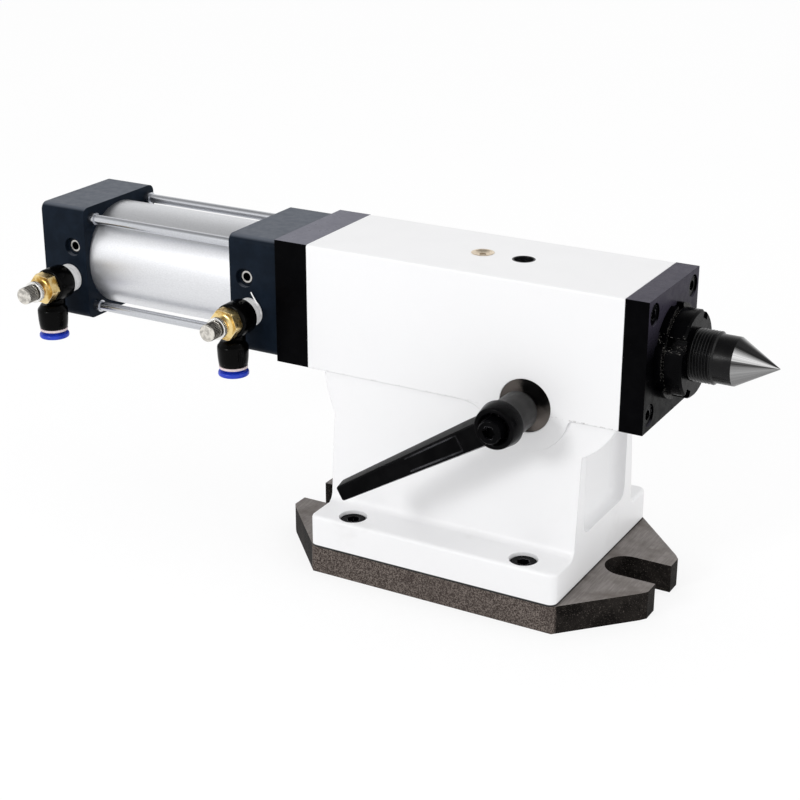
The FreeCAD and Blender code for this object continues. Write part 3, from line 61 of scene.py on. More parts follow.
def edge(node, side, axis):
    """Where a solid's box starts or ends at rest, in millimetres."""
    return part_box(node)[side][axis] / MM


def middle(node, axis):
    """The middle of a solid's box at rest, in millimetres."""
    return (edge(node, LOW, axis) + edge(node, HIGH, axis)) / 2


# Places in millimetres, from the solids
SPINDLE_Z = middle("quill", Z)
QUILL_FACE = edge("quill", HIGH, X)
NUT_FACES = (edge("draw_nut", LOW, X), edge("draw_nut", HIGH, X))
NUT_RADIUS = edge("draw_nut", HIGH, Y)
TOP_Z = edge("housing", HIGH, Z)
BLOCK_LOW_Z = edge("front_flange", LOW, Z)
PLATE_TOP_Z = edge("base_plate", HIGH, Z)
KEY_SCREW_X = middle("key_screw", X)
OILER_X = middle("oiler_ball", X)
PORTS = {end: (middle(f"{end}_stem", X), edge(f"{end}_cap", LOW, Y), middle(f"{end}_stem", Z))
         for end in ("front", "rear")}
BARREL_OUT = PORTS["front"][Y] - middle("front_collet", Y)
NEEDLES_X = (middle("cushion_needle_front", X), middle("cushion_needle_rear", X))
NEEDLE_Z = middle("cushion_needle_front", Z)
CLAMP_X, CLAMP_Z = middle("clamp_stud", X), middle("clamp_stud", Z)
HUB_FACE = edge("lever_sleeve", LOW, Y)

# Places and sizes in millimetres that only the finish shows
SPANNER_SLOT_Y, SPANNER_SLOT_Z = -18.3, 144.6
PLATE_CLIP_X = 69.0
KEY_SEAT_RADIUS = 6.0
NEEDLE_SOCKET = 2.2

# Dead centre, from the quill's face outwards
TAPER_RADIUS = 11.88
CENTRE_THREAD = (3.2, 19.8)
CENTRE_CREST = 12.95
CONE_START = 29.6
CONE_LENGTH = 20.0
CONE_RADIUS = 11.85
CONE_TIP_RADIUS = 0.3
# Half turns from +Y, over the top, to the place where the cone's painted reflection bands start, both ways
# round
REFLECTION_BANDS_START = 1.36
# Share of the half turn from the cone's underside to its top, with the grey level painted there: a painted
# reflection of the room in the ground steel
CONE_REFLECTION_BANDS = [(0.0, 92), (0.32, 158), (0.40, 130), (0.435, 10), (0.465, 110), (0.50, 240), (0.57, 250),
                (0.67, 60), (0.84, 36), (1.0, 180)]

# Clamp lever: the arm's widths, depth and middle are given at its root and tip
LEVER_ANGLE = math.radians(30.5)
ARM_LENGTH = 87.6
ARM_BACK = (16.4, 10.2)
ARM_FRONT = (12.0, 7.4)
ARM_DEPTH = (10.5, 7.5)
ARM_MIDDLE = (1.1, 21.1)
ARM_CORNER = 0.7
ARM_TIP_CURVE = 1.2
ARM_BORE = 9.0
PANEL = (20.2, 47.6)
PANEL_DEPTH = 0.5
PANEL_SLOPE = 0.6

# Speed controller, with HEXAGON's places out from its port
HEXAGON = (18.9, 24.8)
HEXAGON_FLATS = 15.2
HEXAGON_TURN = math.radians(23)
STEM_THREAD_RADIUS = 6.5
STEM_THREAD_DEPTH = 0.7
STEM_THREAD_PITCH = 1.337
KNOB_TEETH = 34
KNOB_TOOTH_DEPTH = 0.34
KNOB_RADIUS = 4.55
RING_TEETH = 40
RING_TOOTH_DEPTH = 0.3
RING_RADIUS = 5.75

ROOM_LIGHT = 0.88


def srgb(red, green, blue):
    """A colour as the screen shows it, in the renderer's linear numbers."""
    def linear(value):
        value /= 255
        return value / 12.92 if value <= 0.04045 else ((value + 0.055) / 1.055) ** 2.4
    return (linear(red), linear(green), linear(blue), 1.0)


def scaled(colour, share, lift=0.0):
    """A colour made lighter or darker."""
    return tuple(min(1.0, part * share + lift) for part in colour[:3]) + (1.0,)


# Materials

class Finish:
    """A material built from noise and position, with short ways to wire it."""

    def __init__(self, name, colour, rough, metal=0.0, **sockets):
        self.material = bpy.data.materials.new(name)
        self.material.use_nodes = True
        self.tree = self.material.node_tree
        self.shader = self.tree.nodes["Principled BSDF"]
        self.shader.inputs["Base Color"].default_value = colour
        self.shader.inputs["Roughness"].default_value = rough
        self.shader.inputs["Metallic"].default_value = metal
        for socket, value in sockets.items():
            self.shader.inputs[socket.replace("_", " ")].default_value = value
        self.place = self.add("ShaderNodeTexCoord")

    def add(self, kind, settings=None, **inputs):
        """A node with its settings and inputs; an input goes by its name, or by i and its number."""
        made = self.tree.nodes.new(kind)
        for name, value in (settings or {}).items():
            setattr(made, name, value)
        for name, value in inputs.items():
            numbered = name[0] == "i" and name[1:].isdigit()
            self.wire(value, made.inputs[int(name[1:]) if numbered else name])
        return made

    def wire(self, value, target):
        """Links an output to an input, or sets the input's own value."""
        if isinstance(value, bpy.types.NodeSocket):
            self.tree.links.new(value, target)
        else:
            target.default_value = value

    def split(self, output="Object"):
        """X, Y and Z of the position, or of another output of the coordinates."""
        return list(self.add("ShaderNodeSeparateXYZ", i0=self.place.outputs[output]).outputs)

    def stretched(self, x, y, z, turn=(0, 0, 0)):
        """The position turned and scaled along each axis."""
        mapping = self.add("ShaderNodeMapping", i0=self.place.outputs["Object"])
        mapping.inputs["Scale"].default_value = (x, y, z)
        mapping.inputs["Rotation"].default_value = turn
        return mapping.outputs[0]

    def noise(self, scale, detail=3.0, rough=0.55, where=None):
        """Noise from 0 to 1 with about as many features to a metre as the scale says."""
        made = self.add("ShaderNodeTexNoise", Scale=scale, Detail=detail, Roughness=rough)
        self.wire(where or self.place.outputs["Object"], made.inputs["Vector"])
        return made.outputs["Fac"]

    def math(self, operation, first, second=0.0, third=0.0):
        """One step of arithmetic."""
        made = self.add("ShaderNodeMath", {"operation": operation}, i0=first, i1=second)
        if operation == "MULTIPLY_ADD":
            self.wire(third, made.inputs[2])
        return made.outputs[0]

    def product(self, first, *others):
        """All values multiplied."""
        for other in others:
            first = self.math("MULTIPLY", first, other)
        return first

    def distance(self, first, second):
        """Length of a step along two axes."""
        squares = self.math("ADD", self.product(first, first), self.product(second, second))
        return self.math("SQRT", squares)

    def band(self, value, low, high, out_low=0.0, out_high=1.0):
        """The value taken smoothly from one range to another."""
        made = self.add("ShaderNodeMapRange", {"interpolation_type": "SMOOTHSTEP"}, i0=value, i1=low, i2=high,
                        i3=out_low, i4=out_high)
        return made.outputs[0]

    def near(self, value, target, far, close):
        """1 where a value lies close to a target, and 0 where it is far from it."""
        return self.band(self.math("ABSOLUTE", self.math("SUBTRACT", value, target)), far, close)

    def past(self, value, place):
        """How far a position lies past a place in millimetres; the answer is in metres."""
        return self.math("SUBTRACT", value, place * MM)

    def fade(self, value, start, end):
        """0 at the start of a stretch in millimetres and 1 at its end."""
        return self.band(value, start * MM, end * MM)

    def beside(self, value, place, far, close):
        """1 where a position lies close to a place, and 0 where it is far from it, in millimetres."""
        return self.near(value, place * MM, far * MM, close * MM)

    def blend(self, factor, first, second):
        """A colour between two."""
        made = self.add("ShaderNodeMix", {"data_type": "RGBA"})
        self.wire(factor, made.inputs[0])
        self.wire(first, made.inputs[6])
        self.wire(second, made.inputs[7])
        return made.outputs[2]

    def colour(self, value):
        """Sets the surface's colour."""
        self.wire(value, self.shader.inputs["Base Color"])

    def cover(self, share, colour):
        """A share of another colour over the one that the surface has so far."""
        base = self.shader.inputs["Base Color"].links[0].from_socket
        self.colour(self.blend(share, base, colour))

    def roughness(self, value, low, high):
        """Roughness from low to high as a noise rises."""
        self.wire(self.band(value, 0.3, 0.7, low, high), self.shader.inputs["Roughness"])

    def bump(self, height, strength, distance):
        """Fine relief on top of what is there; distance is in metres."""
        made = self.add("ShaderNodeBump", Height=height, Strength=strength, Distance=distance)
        previous = self.shader.inputs["Normal"].links
        if previous:
            self.wire(previous[0].from_socket, made.inputs["Normal"])
        self.wire(made.outputs[0], self.shader.inputs["Normal"])

    def edges(self, radius):
        """1 where an edge lies within a radius in metres."""
        rounded = self.add("ShaderNodeBevel", {"samples": 6}, Radius=radius)
        flat = self.add("ShaderNodeNewGeometry")
        turned = self.add("ShaderNodeVectorMath", {"operation": "DOT_PRODUCT"}, i0=rounded.outputs[0],
                          i1=flat.outputs["Normal"])
        return self.band(turned.outputs["Value"], 0.985, 0.90)

    def round_edges(self, radius):
        """Edges shaded as if they were rounded to a radius in metres."""
        made = self.add("ShaderNodeBevel", {"samples": 6}, Radius=radius)
        self.wire(made.outputs[0], self.shader.inputs["Normal"])

    def turned_about(self, axis):
        """Highlights drawn out round an axis, as on turned metal."""
        self.shader.inputs["Anisotropic"].default_value = 0.6
        tangent = self.add("ShaderNodeTangent", {"direction_type": "RADIAL", "axis": axis})
        self.wire(tangent.outputs[0], self.shader.inputs["Tangent"])


def white_paint():
    """Satin white paint on a casting: faint dirt low down and at the block's lower edge, bare screw seat."""
    clean = srgb(239, 239, 240)
    made = Finish("white_paint", clean, 0.36, Specular_IOR_Level=0.3)
    made.round_edges(0.0007)
    x, y, z = made.split()
    dirt_z, crumbs_x, seat_z, casting_z = (80, 20), (30, 50), (150, 152), (104, 98)
    dirt = made.band(made.noise(30, 4, 0.6), 0.58, 0.80)
    laid_over = made.product(dirt, made.math("MULTIPLY_ADD", made.fade(z, *dirt_z), 0.22, 0.05))
    shade = made.blend(laid_over, clean, srgb(206, 205, 203))
    lower_edge = made.beside(z, BLOCK_LOW_Z + 0.1, 0.9, 0.2)
    crumbs = made.product(lower_edge, made.band(made.noise(260, 4, 0.7), 0.50, 0.62),
                          made.math("MULTIPLY_ADD", made.fade(x, *crumbs_x), 0.40, 0.15))
    shade = made.blend(crumbs, shade, srgb(120, 116, 112))
    away = made.distance(made.past(x, KEY_SCREW_X), y)
    seat = made.product(made.fade(away, KEY_SEAT_RADIUS, KEY_SEAT_RADIUS - 0.3), made.fade(z, *seat_z))
    joint = made.fade(z, PLATE_TOP_Z + 1.1, PLATE_TOP_Z + 0.85)
    made.colour(made.blend(made.math("MAXIMUM", seat, joint), shade, srgb(9, 9, 10)))
    made.roughness(made.noise(60), 0.32, 0.42)
    made.bump(made.noise(260, 2), 0.15, 0.0003)
    made.bump(made.product(made.noise(70, 3), made.fade(z, *casting_z)), 0.22, 0.0010)
    return made.material


def ground_steel():
    """Base plate: brownish bare steel, speckled sides, dark clipped ends and a finely ground top; the ends'
    darkness is partly painted shade, and the top's pale grey partly a painted sheen.
    """
    made = Finish("ground_steel", srgb(86, 80, 77), 0.5, 0.05, Specular_IOR_Level=0.03)
    made.round_edges(0.0005)
    # Paler top: partly its ground finish, partly a painted sheen
    top = made.band(made.split("Normal")[Z], 0.6, 0.9)
    # Dark clipped ends: partly their own tone, partly painted shade
    end = made.fade(made.math("ABSOLUTE", made.split()[X]), PLATE_CLIP_X, PLATE_CLIP_X + 1.2)
    speck = made.noise(1500, 3, 0.75)
    cloud = made.noise(70, 4, 0.6)
    grind = made.noise(50, 4, 0.6, made.stretched(30, 2, 6))
    side = made.blend(made.band(speck, 0.42, 0.62), srgb(60, 53, 50), srgb(122, 113, 107))
    side = made.blend(made.band(cloud, 0.45, 0.75, 0.0, 0.45), side, srgb(60, 52, 50))
    dark = made.blend(made.band(cloud, 0.35, 0.7), srgb(14, 12, 11), srgb(36, 33, 31))
    dark = made.blend(made.band(speck, 0.56, 0.68, 0.0, 0.7), dark, srgb(92, 86, 81))
    flat = made.blend(made.band(grind, 0.35, 0.65), srgb(122, 117, 114), srgb(138, 133, 130))
    flat = made.blend(made.band(cloud, 0.40, 0.75), flat, srgb(104, 98, 94))
    made.colour(made.blend(top, made.blend(end, side, dark), flat))
    made.wire(made.band(top, 0, 1, 0.60, 0.44), made.shader.inputs["Roughness"])
    made.bump(speck, 0.35, 0.0002)
    made.bump(grind, 0.12, 0.0002)
    return made.material


def black_metal(name, colour, rough, radius, specular, top_sheen=None, wear_and_sheen=None):
    """Blackened or anodised metal, a little cloudy and scratched; a colour given for upward faces paints them
    paler, a painted sheen; a last step may add chips, scratches, painted highlights and painted sheen.
    """
    made = Finish(name, colour, rough, Specular_IOR_Level=specular)
    made.round_edges(radius)
    cloud = made.band(made.noise(110, 4, 0.6), 0.35, 0.75)
    made.colour(made.blend(cloud, colour, scaled(colour, 1.5, 0.0006)))
    if top_sheen:
        # Painted sheen: upward faces paler, as if they caught the light from above
        upward = made.band(made.split("Normal")[Z], 0.55, 0.97)
        made.cover(upward, made.blend(made.noise(45, 4, 0.6), scaled(top_sheen, 0.85), scaled(top_sheen, 1.15)))
    made.roughness(made.noise(240, 3), rough - 0.06, rough + 0.08)
    scratch = made.noise(300, 2, 0.6, made.stretched(1, 14, 3, (0.5, 0.2, 0.7)))
    made.bump(scratch, 0.08, 0.0001)
    # Last step: chips and scratches, with painted highlights and sheen for some finishes
    if wear_and_sheen:
        wear_and_sheen(made)
    return made.material


def edge_glints(made):
    """Painted highlights: edges of a blackened screw made bright in places."""
    glint_share = made.product(made.edges(0.0003), made.band(made.noise(160, 3), 0.46, 0.60))
    # Painted highlight along the edges
    made.cover(glint_share, srgb(132, 132, 136))


def upper_sheen_and_scratches(made):
    """A purplish painted sheen on the upper part of the flange's outer face, and scratches on its top."""
    sheen_z = (137, 163)
    across, _, up = made.split("Normal")
    high = made.fade(made.split()[Z], *sheen_z)
    # Painted sheen: the outer face paler and purplish high up
    made.cover(made.product(made.band(across, 0.6, 0.95), high), srgb(52, 49, 60))
    thin = made.noise(60, 3, 0.6, made.stretched(1, 9, 1, (0, 0, 0.5)))
    scratches = made.product(made.near(thin, 0.5, 0.006, 0.002), made.band(up, 0.6, 0.95), 0.7)
    made.cover(scratches, srgb(28, 27, 31))


def chipped(made):
    """Small bright chips along the edges and round a spanner slot of the nose rings."""
    x, y, z = made.split()
    rim = made.fade(made.distance(y, made.past(z, SPINDLE_Z)), NUT_RADIUS - 1.0, NUT_RADIUS - 0.2)
    back = made.beside(x, NUT_FACES[LOW] + 0.1, 0.5, 0.1)
    front = made.beside(x, NUT_FACES[HIGH] - 0.5, 0.9, 0.3)
    broken = made.band(made.noise(140, 2), 0.62, 0.68)
    dotted = made.band(made.noise(1500, 3), 0.50, 0.60)
    chips = made.product(rim, made.math("MAXIMUM", made.product(front, broken), back), dotted)
    slot = made.product(made.beside(y, SPANNER_SLOT_Y, 3.6, 2.0), made.beside(z, SPANNER_SLOT_Z, 5.2, 3.0),
                        made.band(made.noise(950, 4, 0.7), 0.60, 0.68))
    made.cover(made.product(made.math("MAXIMUM", chips, slot), 0.75), srgb(186, 182, 176))
    made.bump(made.noise(700, 3), 0.2, 0.0002)


def bright_metal(name, colour, rough, lines, spin=None, grain=900, dark=0.82, relief=0.08):
    """Bright metal with fine lines along or across one axis; spin is the axis it was turned about."""
    made = Finish(name, colour, rough, 1.0)
    mark = made.noise(grain, 2, 0.5, made.stretched(*lines))
    made.colour(made.blend(made.band(mark, 0.35, 0.65), colour, scaled(colour, dark)))
    made.roughness(mark, rough * 0.85, rough * 1.2)
    made.bump(mark, relief, 0.0001)
    if spin:
        made.turned_about(spin)
    return made.material


def ground_cone():
    """Ground steel point, with painted reflections: grey bands that run from its base to its tip."""
    made = Finish("ground_cone", srgb(190, 190, 192), 0.2, 1.0)
    made.round_edges(0.0003)
    _, y, z = made.split()
    up = made.past(z, SPINDLE_Z)
    radius = made.math("MAXIMUM", made.distance(y, up), 0.00002)
    around = made.add("ShaderNodeCombineXYZ", i0=made.math("DIVIDE", y, radius),
                      i1=made.math("DIVIDE", up, radius))
    fine = made.band(made.noise(16, 3, 0.6, around.outputs[0]), 0.35, 0.65)
    # Painted reflection: light and dark bands set by the angle round the cone's axis
    turn = made.math("DIVIDE", made.math("ARCTAN2", up, y), math.pi)
    turn = made.math("ADD", turn, made.math("MULTIPLY_ADD", fine, 0.02, -0.01))
    share = made.math("PINGPONG", made.math("SUBTRACT", turn, REFLECTION_BANDS_START), 1.0)
    reflection_bands = made.add("ShaderNodeValToRGB", i0=share)
    stops = reflection_bands.color_ramp.elements
    for place, _ in CONE_REFLECTION_BANDS[1:-1]:
        stops.new(place)
    for stop, (_, level) in zip(stops, CONE_REFLECTION_BANDS):
        stop.color = srgb(level, level, level)
    made.colour(made.blend(made.product(fine, 0.25), reflection_bands.outputs[0], srgb(96, 96, 98)))
    made.roughness(fine, 0.16, 0.24)
    made.turned_about("X")
    return made.material


def brass():
    """Bright machined brass, with darker golden patches painted as reflections of dark surroundings, and a
    painted highlight along its edges.
    """
    made = Finish("brass", srgb(232, 206, 148), 0.15, 1.0)
    # Painted reflection: darker golden patches where the faces would mirror dark surroundings
    patch = made.band(made.noise(150, 3, 0.6), 0.44, 0.66)
    made.colour(made.blend(patch, srgb(236, 210, 148), srgb(176, 136, 62)))
    # Painted highlight: a cream line along the edges
    made.cover(made.edges(0.0003), srgb(255, 248, 226))
    made.roughness(made.noise(500, 2), 0.26, 0.34)
    return made.material


def turned_face():
    """Dark clamp bush with a turned face, and a painted reflection: paler fans to the upper left and lower
    right, darker between them.
    """
    made = Finish("turned_face", srgb(60, 56, 54), 0.34, 0.6, Specular_IOR_Level=0.2)
    x, _, z = made.split()
    turn = made.math("ARCTAN2", made.past(z, CLAMP_Z), made.past(x, CLAMP_X))
    # Painted reflection: the bow tie of light that a turned face shows, paler to the upper left and lower
    # right
    reflection_fan = made.math("COSINE", made.math("MULTIPLY_ADD", turn, 2.0, -1.6 * math.pi))
    rings = made.noise(260, 3, 0.6)
    reflection_fan = made.math("ADD", reflection_fan, made.math("MULTIPLY_ADD", rings, 1.4, -0.7))
    made.colour(made.blend(made.band(reflection_fan, -0.3, 0.9), srgb(14, 13, 13), srgb(98, 92, 88)))
    made.roughness(rings, 0.28, 0.42)
    made.bump(rings, 0.08, 0.0001)
    return made.material


def needle_metal():
    """Plated cushion needles: bright round their key sockets, with painted shade inside the sockets, and
    darker towards their rims.
    """
    made = Finish("needle_metal", srgb(204, 202, 198), 0.3, 1.0)
    x, _, z = made.split()
    front_x, rear_x = NEEDLES_X
    from_halfway = made.math("ABSOLUTE", made.past(x, (front_x + rear_x) / 2))
    away = made.distance(made.past(from_halfway, (front_x - rear_x) / 2), made.past(z, NEEDLE_Z))
    mark = made.noise(700, 2)
    bright = made.blend(mark, srgb(214, 212, 208), srgb(168, 166, 162))
    # Painted shade: dark inside the key socket
    made.colour(made.blend(made.fade(away, NEEDLE_SOCKET, NEEDLE_SOCKET * 1.1), srgb(10, 10, 11), bright))
    made.cover(made.fade(away, NEEDLE_SOCKET * 1.4, NEEDLE_SOCKET * 1.5), srgb(24, 26, 30))
    made.roughness(mark, 0.26, 0.38)
    return made.material


def plastic(name, colour, rough, specular):
    """Moulded plastic with faint flow marks."""
    made = Finish(name, colour, rough, Specular_IOR_Level=specular)
    made.round_edges(0.0002)
    flow = made.noise(180, 3)
    made.colour(made.blend(made.band(flow, 0.35, 0.7), colour, scaled(colour, 1.15, 0.0003)))
    made.roughness(flow, rough - 0.03, rough + 0.04)
    made.bump(made.noise(1200, 2), 0.04, 0.0001)
    return made.material


def white_seal():
    """White sealing collar and tape, wrinkled round the port, with painted shade in the wrinkles."""
    made = Finish("white_seal", srgb(250, 250, 250), 0.5, Specular_IOR_Level=0.4)
    wrinkle = made.noise(260, 3, 0.6, made.stretched(1, 4, 1))
    # Painted shade: greyer where the wrinkles dip
    made.colour(made.blend(made.band(wrinkle, 0.36, 0.50), srgb(226, 226, 226), srgb(252, 252, 252)))
    made.roughness(wrinkle, 0.45, 0.6)
    made.bump(wrinkle, 0.3, 0.0004)
    return made.material


def lever_black():
    """Fine-textured black coat of the clamp lever, with painted highlights in grey along its edges."""
    made = Finish("lever_black", srgb(6, 6, 7), 0.2, Specular_IOR_Level=0.03)
    made.round_edges(0.0003)
    made.colour(made.blend(made.band(made.noise(90, 3), 0.3, 0.7), srgb(3, 3, 4), srgb(11, 11, 12)))
    # Painted highlight: grey along the edges, broken by noise
    laid_over = made.product(made.edges(0.0009), made.band(made.noise(70, 3), 0.36, 0.60, 0.2, 1.0))
    made.cover(laid_over, srgb(92, 92, 96))
    made.roughness(made.noise(300, 3), 0.16, 0.26)
    made.bump(made.noise(1700, 2), 0.06, 0.0001)
    return made.material


def white_floor():
    """Pale floor: nearly white to the camera and in reflections, with the object's own shadow kept light."""
    glow_share = 0.76
    made = Finish("floor", srgb(236, 236, 237), 0.8)
    made.colour(made.blend(made.noise(3, 3), srgb(238, 238, 238), srgb(232, 232, 233)))
    rays = made.add("ShaderNodeLightPath").outputs
    mirrored = made.math("MAXIMUM", rays["Is Glossy Ray"], rays["Is Transmission Ray"])
    seen = made.math("MAXIMUM", rays["Is Camera Ray"], mirrored)
    glow = made.add("ShaderNodeEmission", Color=(1, 1, 1, 1), Strength=1.06)
    mixed = made.add("ShaderNodeMixShader", i0=made.product(seen, glow_share), i1=made.shader.outputs[0],
                     i2=glow.outputs[0])
    out = next(item for item in made.tree.nodes if item.type == "OUTPUT_MATERIAL")
    made.tree.links.new(mixed.outputs[0], out.inputs["Surface"])
    return made.material


MATERIALS = {
    "white_paint": white_paint(),
    "ground_steel": ground_steel(),
    "black_oxide": black_metal("black_oxide", srgb(8, 8, 9), 0.24, 0.0003, 0.16),
    "screw_black": black_metal("screw_black", srgb(3, 3, 4), 0.25, 0.0002, 0.03, wear_and_sheen=edge_glints),
    "nose_ring": black_metal("nose_ring", srgb(2, 2, 3), 0.22, 0.0003, 0.03, wear_and_sheen=chipped),
    "black_flange": black_metal("black_flange", srgb(2, 2, 3), 0.3, 0.0004, 0.02, srgb(77, 75, 85), upper_sheen_and_scratches),
    "black_anodised": black_metal("black_anodised", srgb(14, 22, 32), 0.42, 0.0005, 0.05, srgb(88, 93, 102)),
    "adapter_black": black_metal("adapter_black", srgb(2, 2, 3), 0.32, 0.0004, 0.02, srgb(114, 114, 124)),
    "tube_aluminium": bright_metal("tube_aluminium", srgb(234, 235, 238), 0.42, (1, 18, 18)),
    "bright_steel": bright_metal("bright_steel", srgb(206, 208, 213), 0.20, (1, 12, 12)),
    "turned_steel": bright_metal("turned_steel", srgb(120, 116, 112), 0.38, (1, 14, 1), "Y"),
    "sleeve_steel": black_metal("sleeve_steel", srgb(27, 26, 26), 0.36, 0.0003, 0.16),
    "ground_cone": ground_cone(),
    "knob_face": bright_metal("knob_face", srgb(226, 222, 214), 0.26, (1, 1, 1), grain=420, dark=0.55,
                              relief=0.5),
    "bright_ring": bright_metal("bright_ring", srgb(244, 243, 240), 0.26, (2, 8, 2)),
    "brass": brass(),
    "pale_brass": bright_metal("pale_brass", srgb(236, 220, 196), 0.34, (1, 1, 6)),
    "turned_face": turned_face(),
    "needle_metal": needle_metal(),
    "knurled": bright_metal("knurled", srgb(182, 178, 170), 0.34, (2, 8, 2)),
    # Painted shade for the valleys between the knob's teeth
    "knurl_valley_shade": bright_metal("knurl_valley_shade", srgb(66, 63, 59), 0.4, (2, 8, 2)),
    "bronze": bright_metal("bronze", srgb(170, 130, 80), 0.35, (8, 1, 1)),
    "rubber": plastic("rubber", srgb(22, 22, 22), 0.7, 0.2),
    "black_plastic": plastic("black_plastic", srgb(2, 2, 2), 0.2, 0.06),
    "blue_plastic": plastic("blue_plastic", srgb(20, 52, 178), 0.32, 0.4),
    "white_seal": white_seal(),
    "pale_plastic": plastic("pale_plastic", srgb(212, 196, 196), 0.38, 0.5),
    "lever_black": lever_black(),
}

# The solids that show as they are, with their materials
CAD_FINISH = {
    "white_paint": ["housing"],
    "ground_steel": ["base_plate"],
    "black_oxide": ["quill"],
    "screw_black": ["lever_screw", "foot_screws", "flange_screws", "key_screw"],
    "nose_ring": ["retaining_ring", "draw_nut"],
    "black_flange": ["front_flange"],
    "black_anodised": ["front_cap", "rear_cap"],
    "adapter_black": ["adapter_plate"],
    "tube_aluminium": ["cylinder_tube", "piston"],
    "bright_steel": ["tie_rods", "tie_rod_collars", "tie_rod_end_nuts", "piston_rod", "oiler_ball"],
    "turned_face": ["clamp_bush_front"],
    "turned_steel": ["clamp_shoe_rear", "clamp_stud", "lever_insert", "piston_nut", "cushion_spear_front"],
    "sleeve_steel": ["lever_sleeve"],
    "needle_metal": ["cushion_needle_front", "cushion_needle_rear"],
    "bronze": ["rod_bush"],
    "rubber": ["wiper_seal", "tube_seals", "piston_seals", "cushion_seals", "rod_seal", "front_tube_seal",
               "rear_tube_seal"],
    "pale_plastic": ["front_retainer", "rear_retainer"],
    "white_seal": ["front_washer", "rear_washer"],
}
for finish, names in CAD_FINISH.items():
    for node_name in names:
        mesh = nodes[node_name].data
        mesh.materials.clear()
        mesh.materials.append(MATERIALS[finish])


# Shapes

def in_metres(name, points, faces):
    """A mesh from points in millimetres."""
    made = bpy.data.meshes.new(name)
    made.from_pydata([tuple(point * MM for point in spot) for spot in points], [], faces)
    return made


def smoothed(mesh, angle):
    """Smooth shading, apart from edges sharper than an angle in degrees."""
    mesh.shade_smooth()
    mesh.set_sharp_from_angle(angle=math.radians(angle))


def piece(name, points, faces, finishes, body, replaced, angle, face_finish=None):
    """A mesh in the row frame from points in millimetres, riding on a body."""
    made = in_metres(name, points, faces)
    for finish in finishes:
        made.materials.append(MATERIALS[finish])
    if face_finish:
        made.polygons.foreach_set("material_index", face_finish)
    smoothed(made, angle)
    made.update()
    shown = bpy.data.objects.new(name, made)
    bpy.context.scene.collection.objects.link(shown)
    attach(shown, body)
    if replaced:
        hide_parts(*replaced)
    return shown


def skin(rows, size, closed=False):
    """Faces between rings of points, capped at both ends unless the last ring joins the first."""
    faces = []
    for row in range(rows if closed else rows - 1):
        after = (row + 1) % rows
        for step in range(size):
            beside = (step + 1) % size
            faces.append((row * size + step, row * size + beside,
                          after * size + beside, after * size + step))
    if not closed:
        faces.append(tuple(reversed(range(size))))
        faces.append(tuple((rows - 1) * size + step for step in range(size)))
    return faces


def revolved(origin, axes, profile, steps, shape=None, closed=False):
    """Points and faces of (along, radius) pairs turned about an axis; shape may change each radius."""
    along, side, up = axes
    base = Vector(origin)
    points = []
    for place, radius in profile:
        for step in range(steps):
            turn = 2 * math.pi * step / steps
            length = shape(place, turn, radius) if shape else radius
            points.append(base + along * place + (side * math.cos(turn) + up * math.sin(turn)) * length)
    return points, skin(len(profile), steps, closed)


def merged(*parts):
    """Several point and face lists as one."""
    points, faces = [], []
    for more_points, more_faces in parts:
        start = len(points)
        points += more_points
        faces += [tuple(start + index for index in face) for face in more_faces]
    return points, faces


def spaced(start, end, count):
    """Evenly spaced values from start to end, with count steps."""
    return [start + (end - start) * step / count for step in range(count + 1)]


def between(ends, share):
    """A value between two ends."""
    return ends[0] + (ends[1] - ends[0]) * share


def hexagon_radius(flats, turn, offset):
    """Distance from the middle of a hexagon to its edge in one direction."""
    sector = (turn - offset + math.pi / 6) % (math.pi / 3) - math.pi / 6
    return flats / 2 / math.cos(sector)


def threaded(start, end, crest, depth, pitch):
    """A radius rule for a helical thread that fades out at both ends."""
    def rule(place, turn, radius):
        if not start <= place <= end:
            return radius
        wave = abs(((place / pitch - turn / (2 * math.pi)) % 1.0) * 2 - 1)
        fade = min(1.0, (place - start) / pitch, (end - place) / pitch)
        return crest - depth * (1 - wave) * max(fade, 0.0)
    return rule


def toothed(crest, reach, depth, teeth):
    """A radius rule for straight teeth round the rows whose radius is within reach of the crest."""
    def rule(place, turn, radius):
        if abs(radius - crest) < reach:
            return radius - depth * (0.5 + 0.5 * math.cos(turn * teeth))
        return radius
    return rule


# Dead centre with its thread

def dead_centre():
    """Taper shank, thread, plain neck and ground point."""
    thread_start, thread_end = CENTRE_THREAD
    profile = [(-80.9, 9.8), (-80.0, 9.95), (0.0, TAPER_RADIUS), (2.4, TAPER_RADIUS), (2.9, 12.4)]
    profile += [(place, CENTRE_CREST) for place in spaced(thread_start, thread_end, 140)]
    profile += [(20.1, 12.5), (20.6, 11.9), (29.2, 11.9), (CONE_START - 0.05, TAPER_RADIUS)]
    cone = zip(spaced(CONE_START, CONE_START + CONE_LENGTH, 12), spaced(CONE_RADIUS, CONE_TIP_RADIUS, 12))
    profile += list(cone) + [(CONE_START + CONE_LENGTH + 0.25, 0.06)]
    thread = threaded(thread_start + 0.8, thread_end - 0.2, CENTRE_CREST, 0.85, 1.5)
    points, faces = revolved((QUILL_FACE, 0, SPINDLE_Z), ALONG_X, profile, 96, thread)
    limit = QUILL_FACE + CONE_START - 0.05
    on_cone = [int(sum(points[index][0] for index in face) / len(face) > limit) for face in faces]
    piece("dead_centre_turned", points, faces, ["black_oxide", "ground_cone"], "centre", ["dead_centre"], 25,
          on_cone)


# Clamp lever

def lever_point(x, y, z):
    """From the lever's own frame (x along its arm, z out of its hub) to the row frame, in millimetres."""
    return Vector((CLAMP_X - x * math.cos(LEVER_ANGLE) - y * math.sin(LEVER_ANGLE), HUB_FACE - z,
                   CLAMP_Z - x * math.sin(LEVER_ANGLE) + y * math.cos(LEVER_ANGLE)))


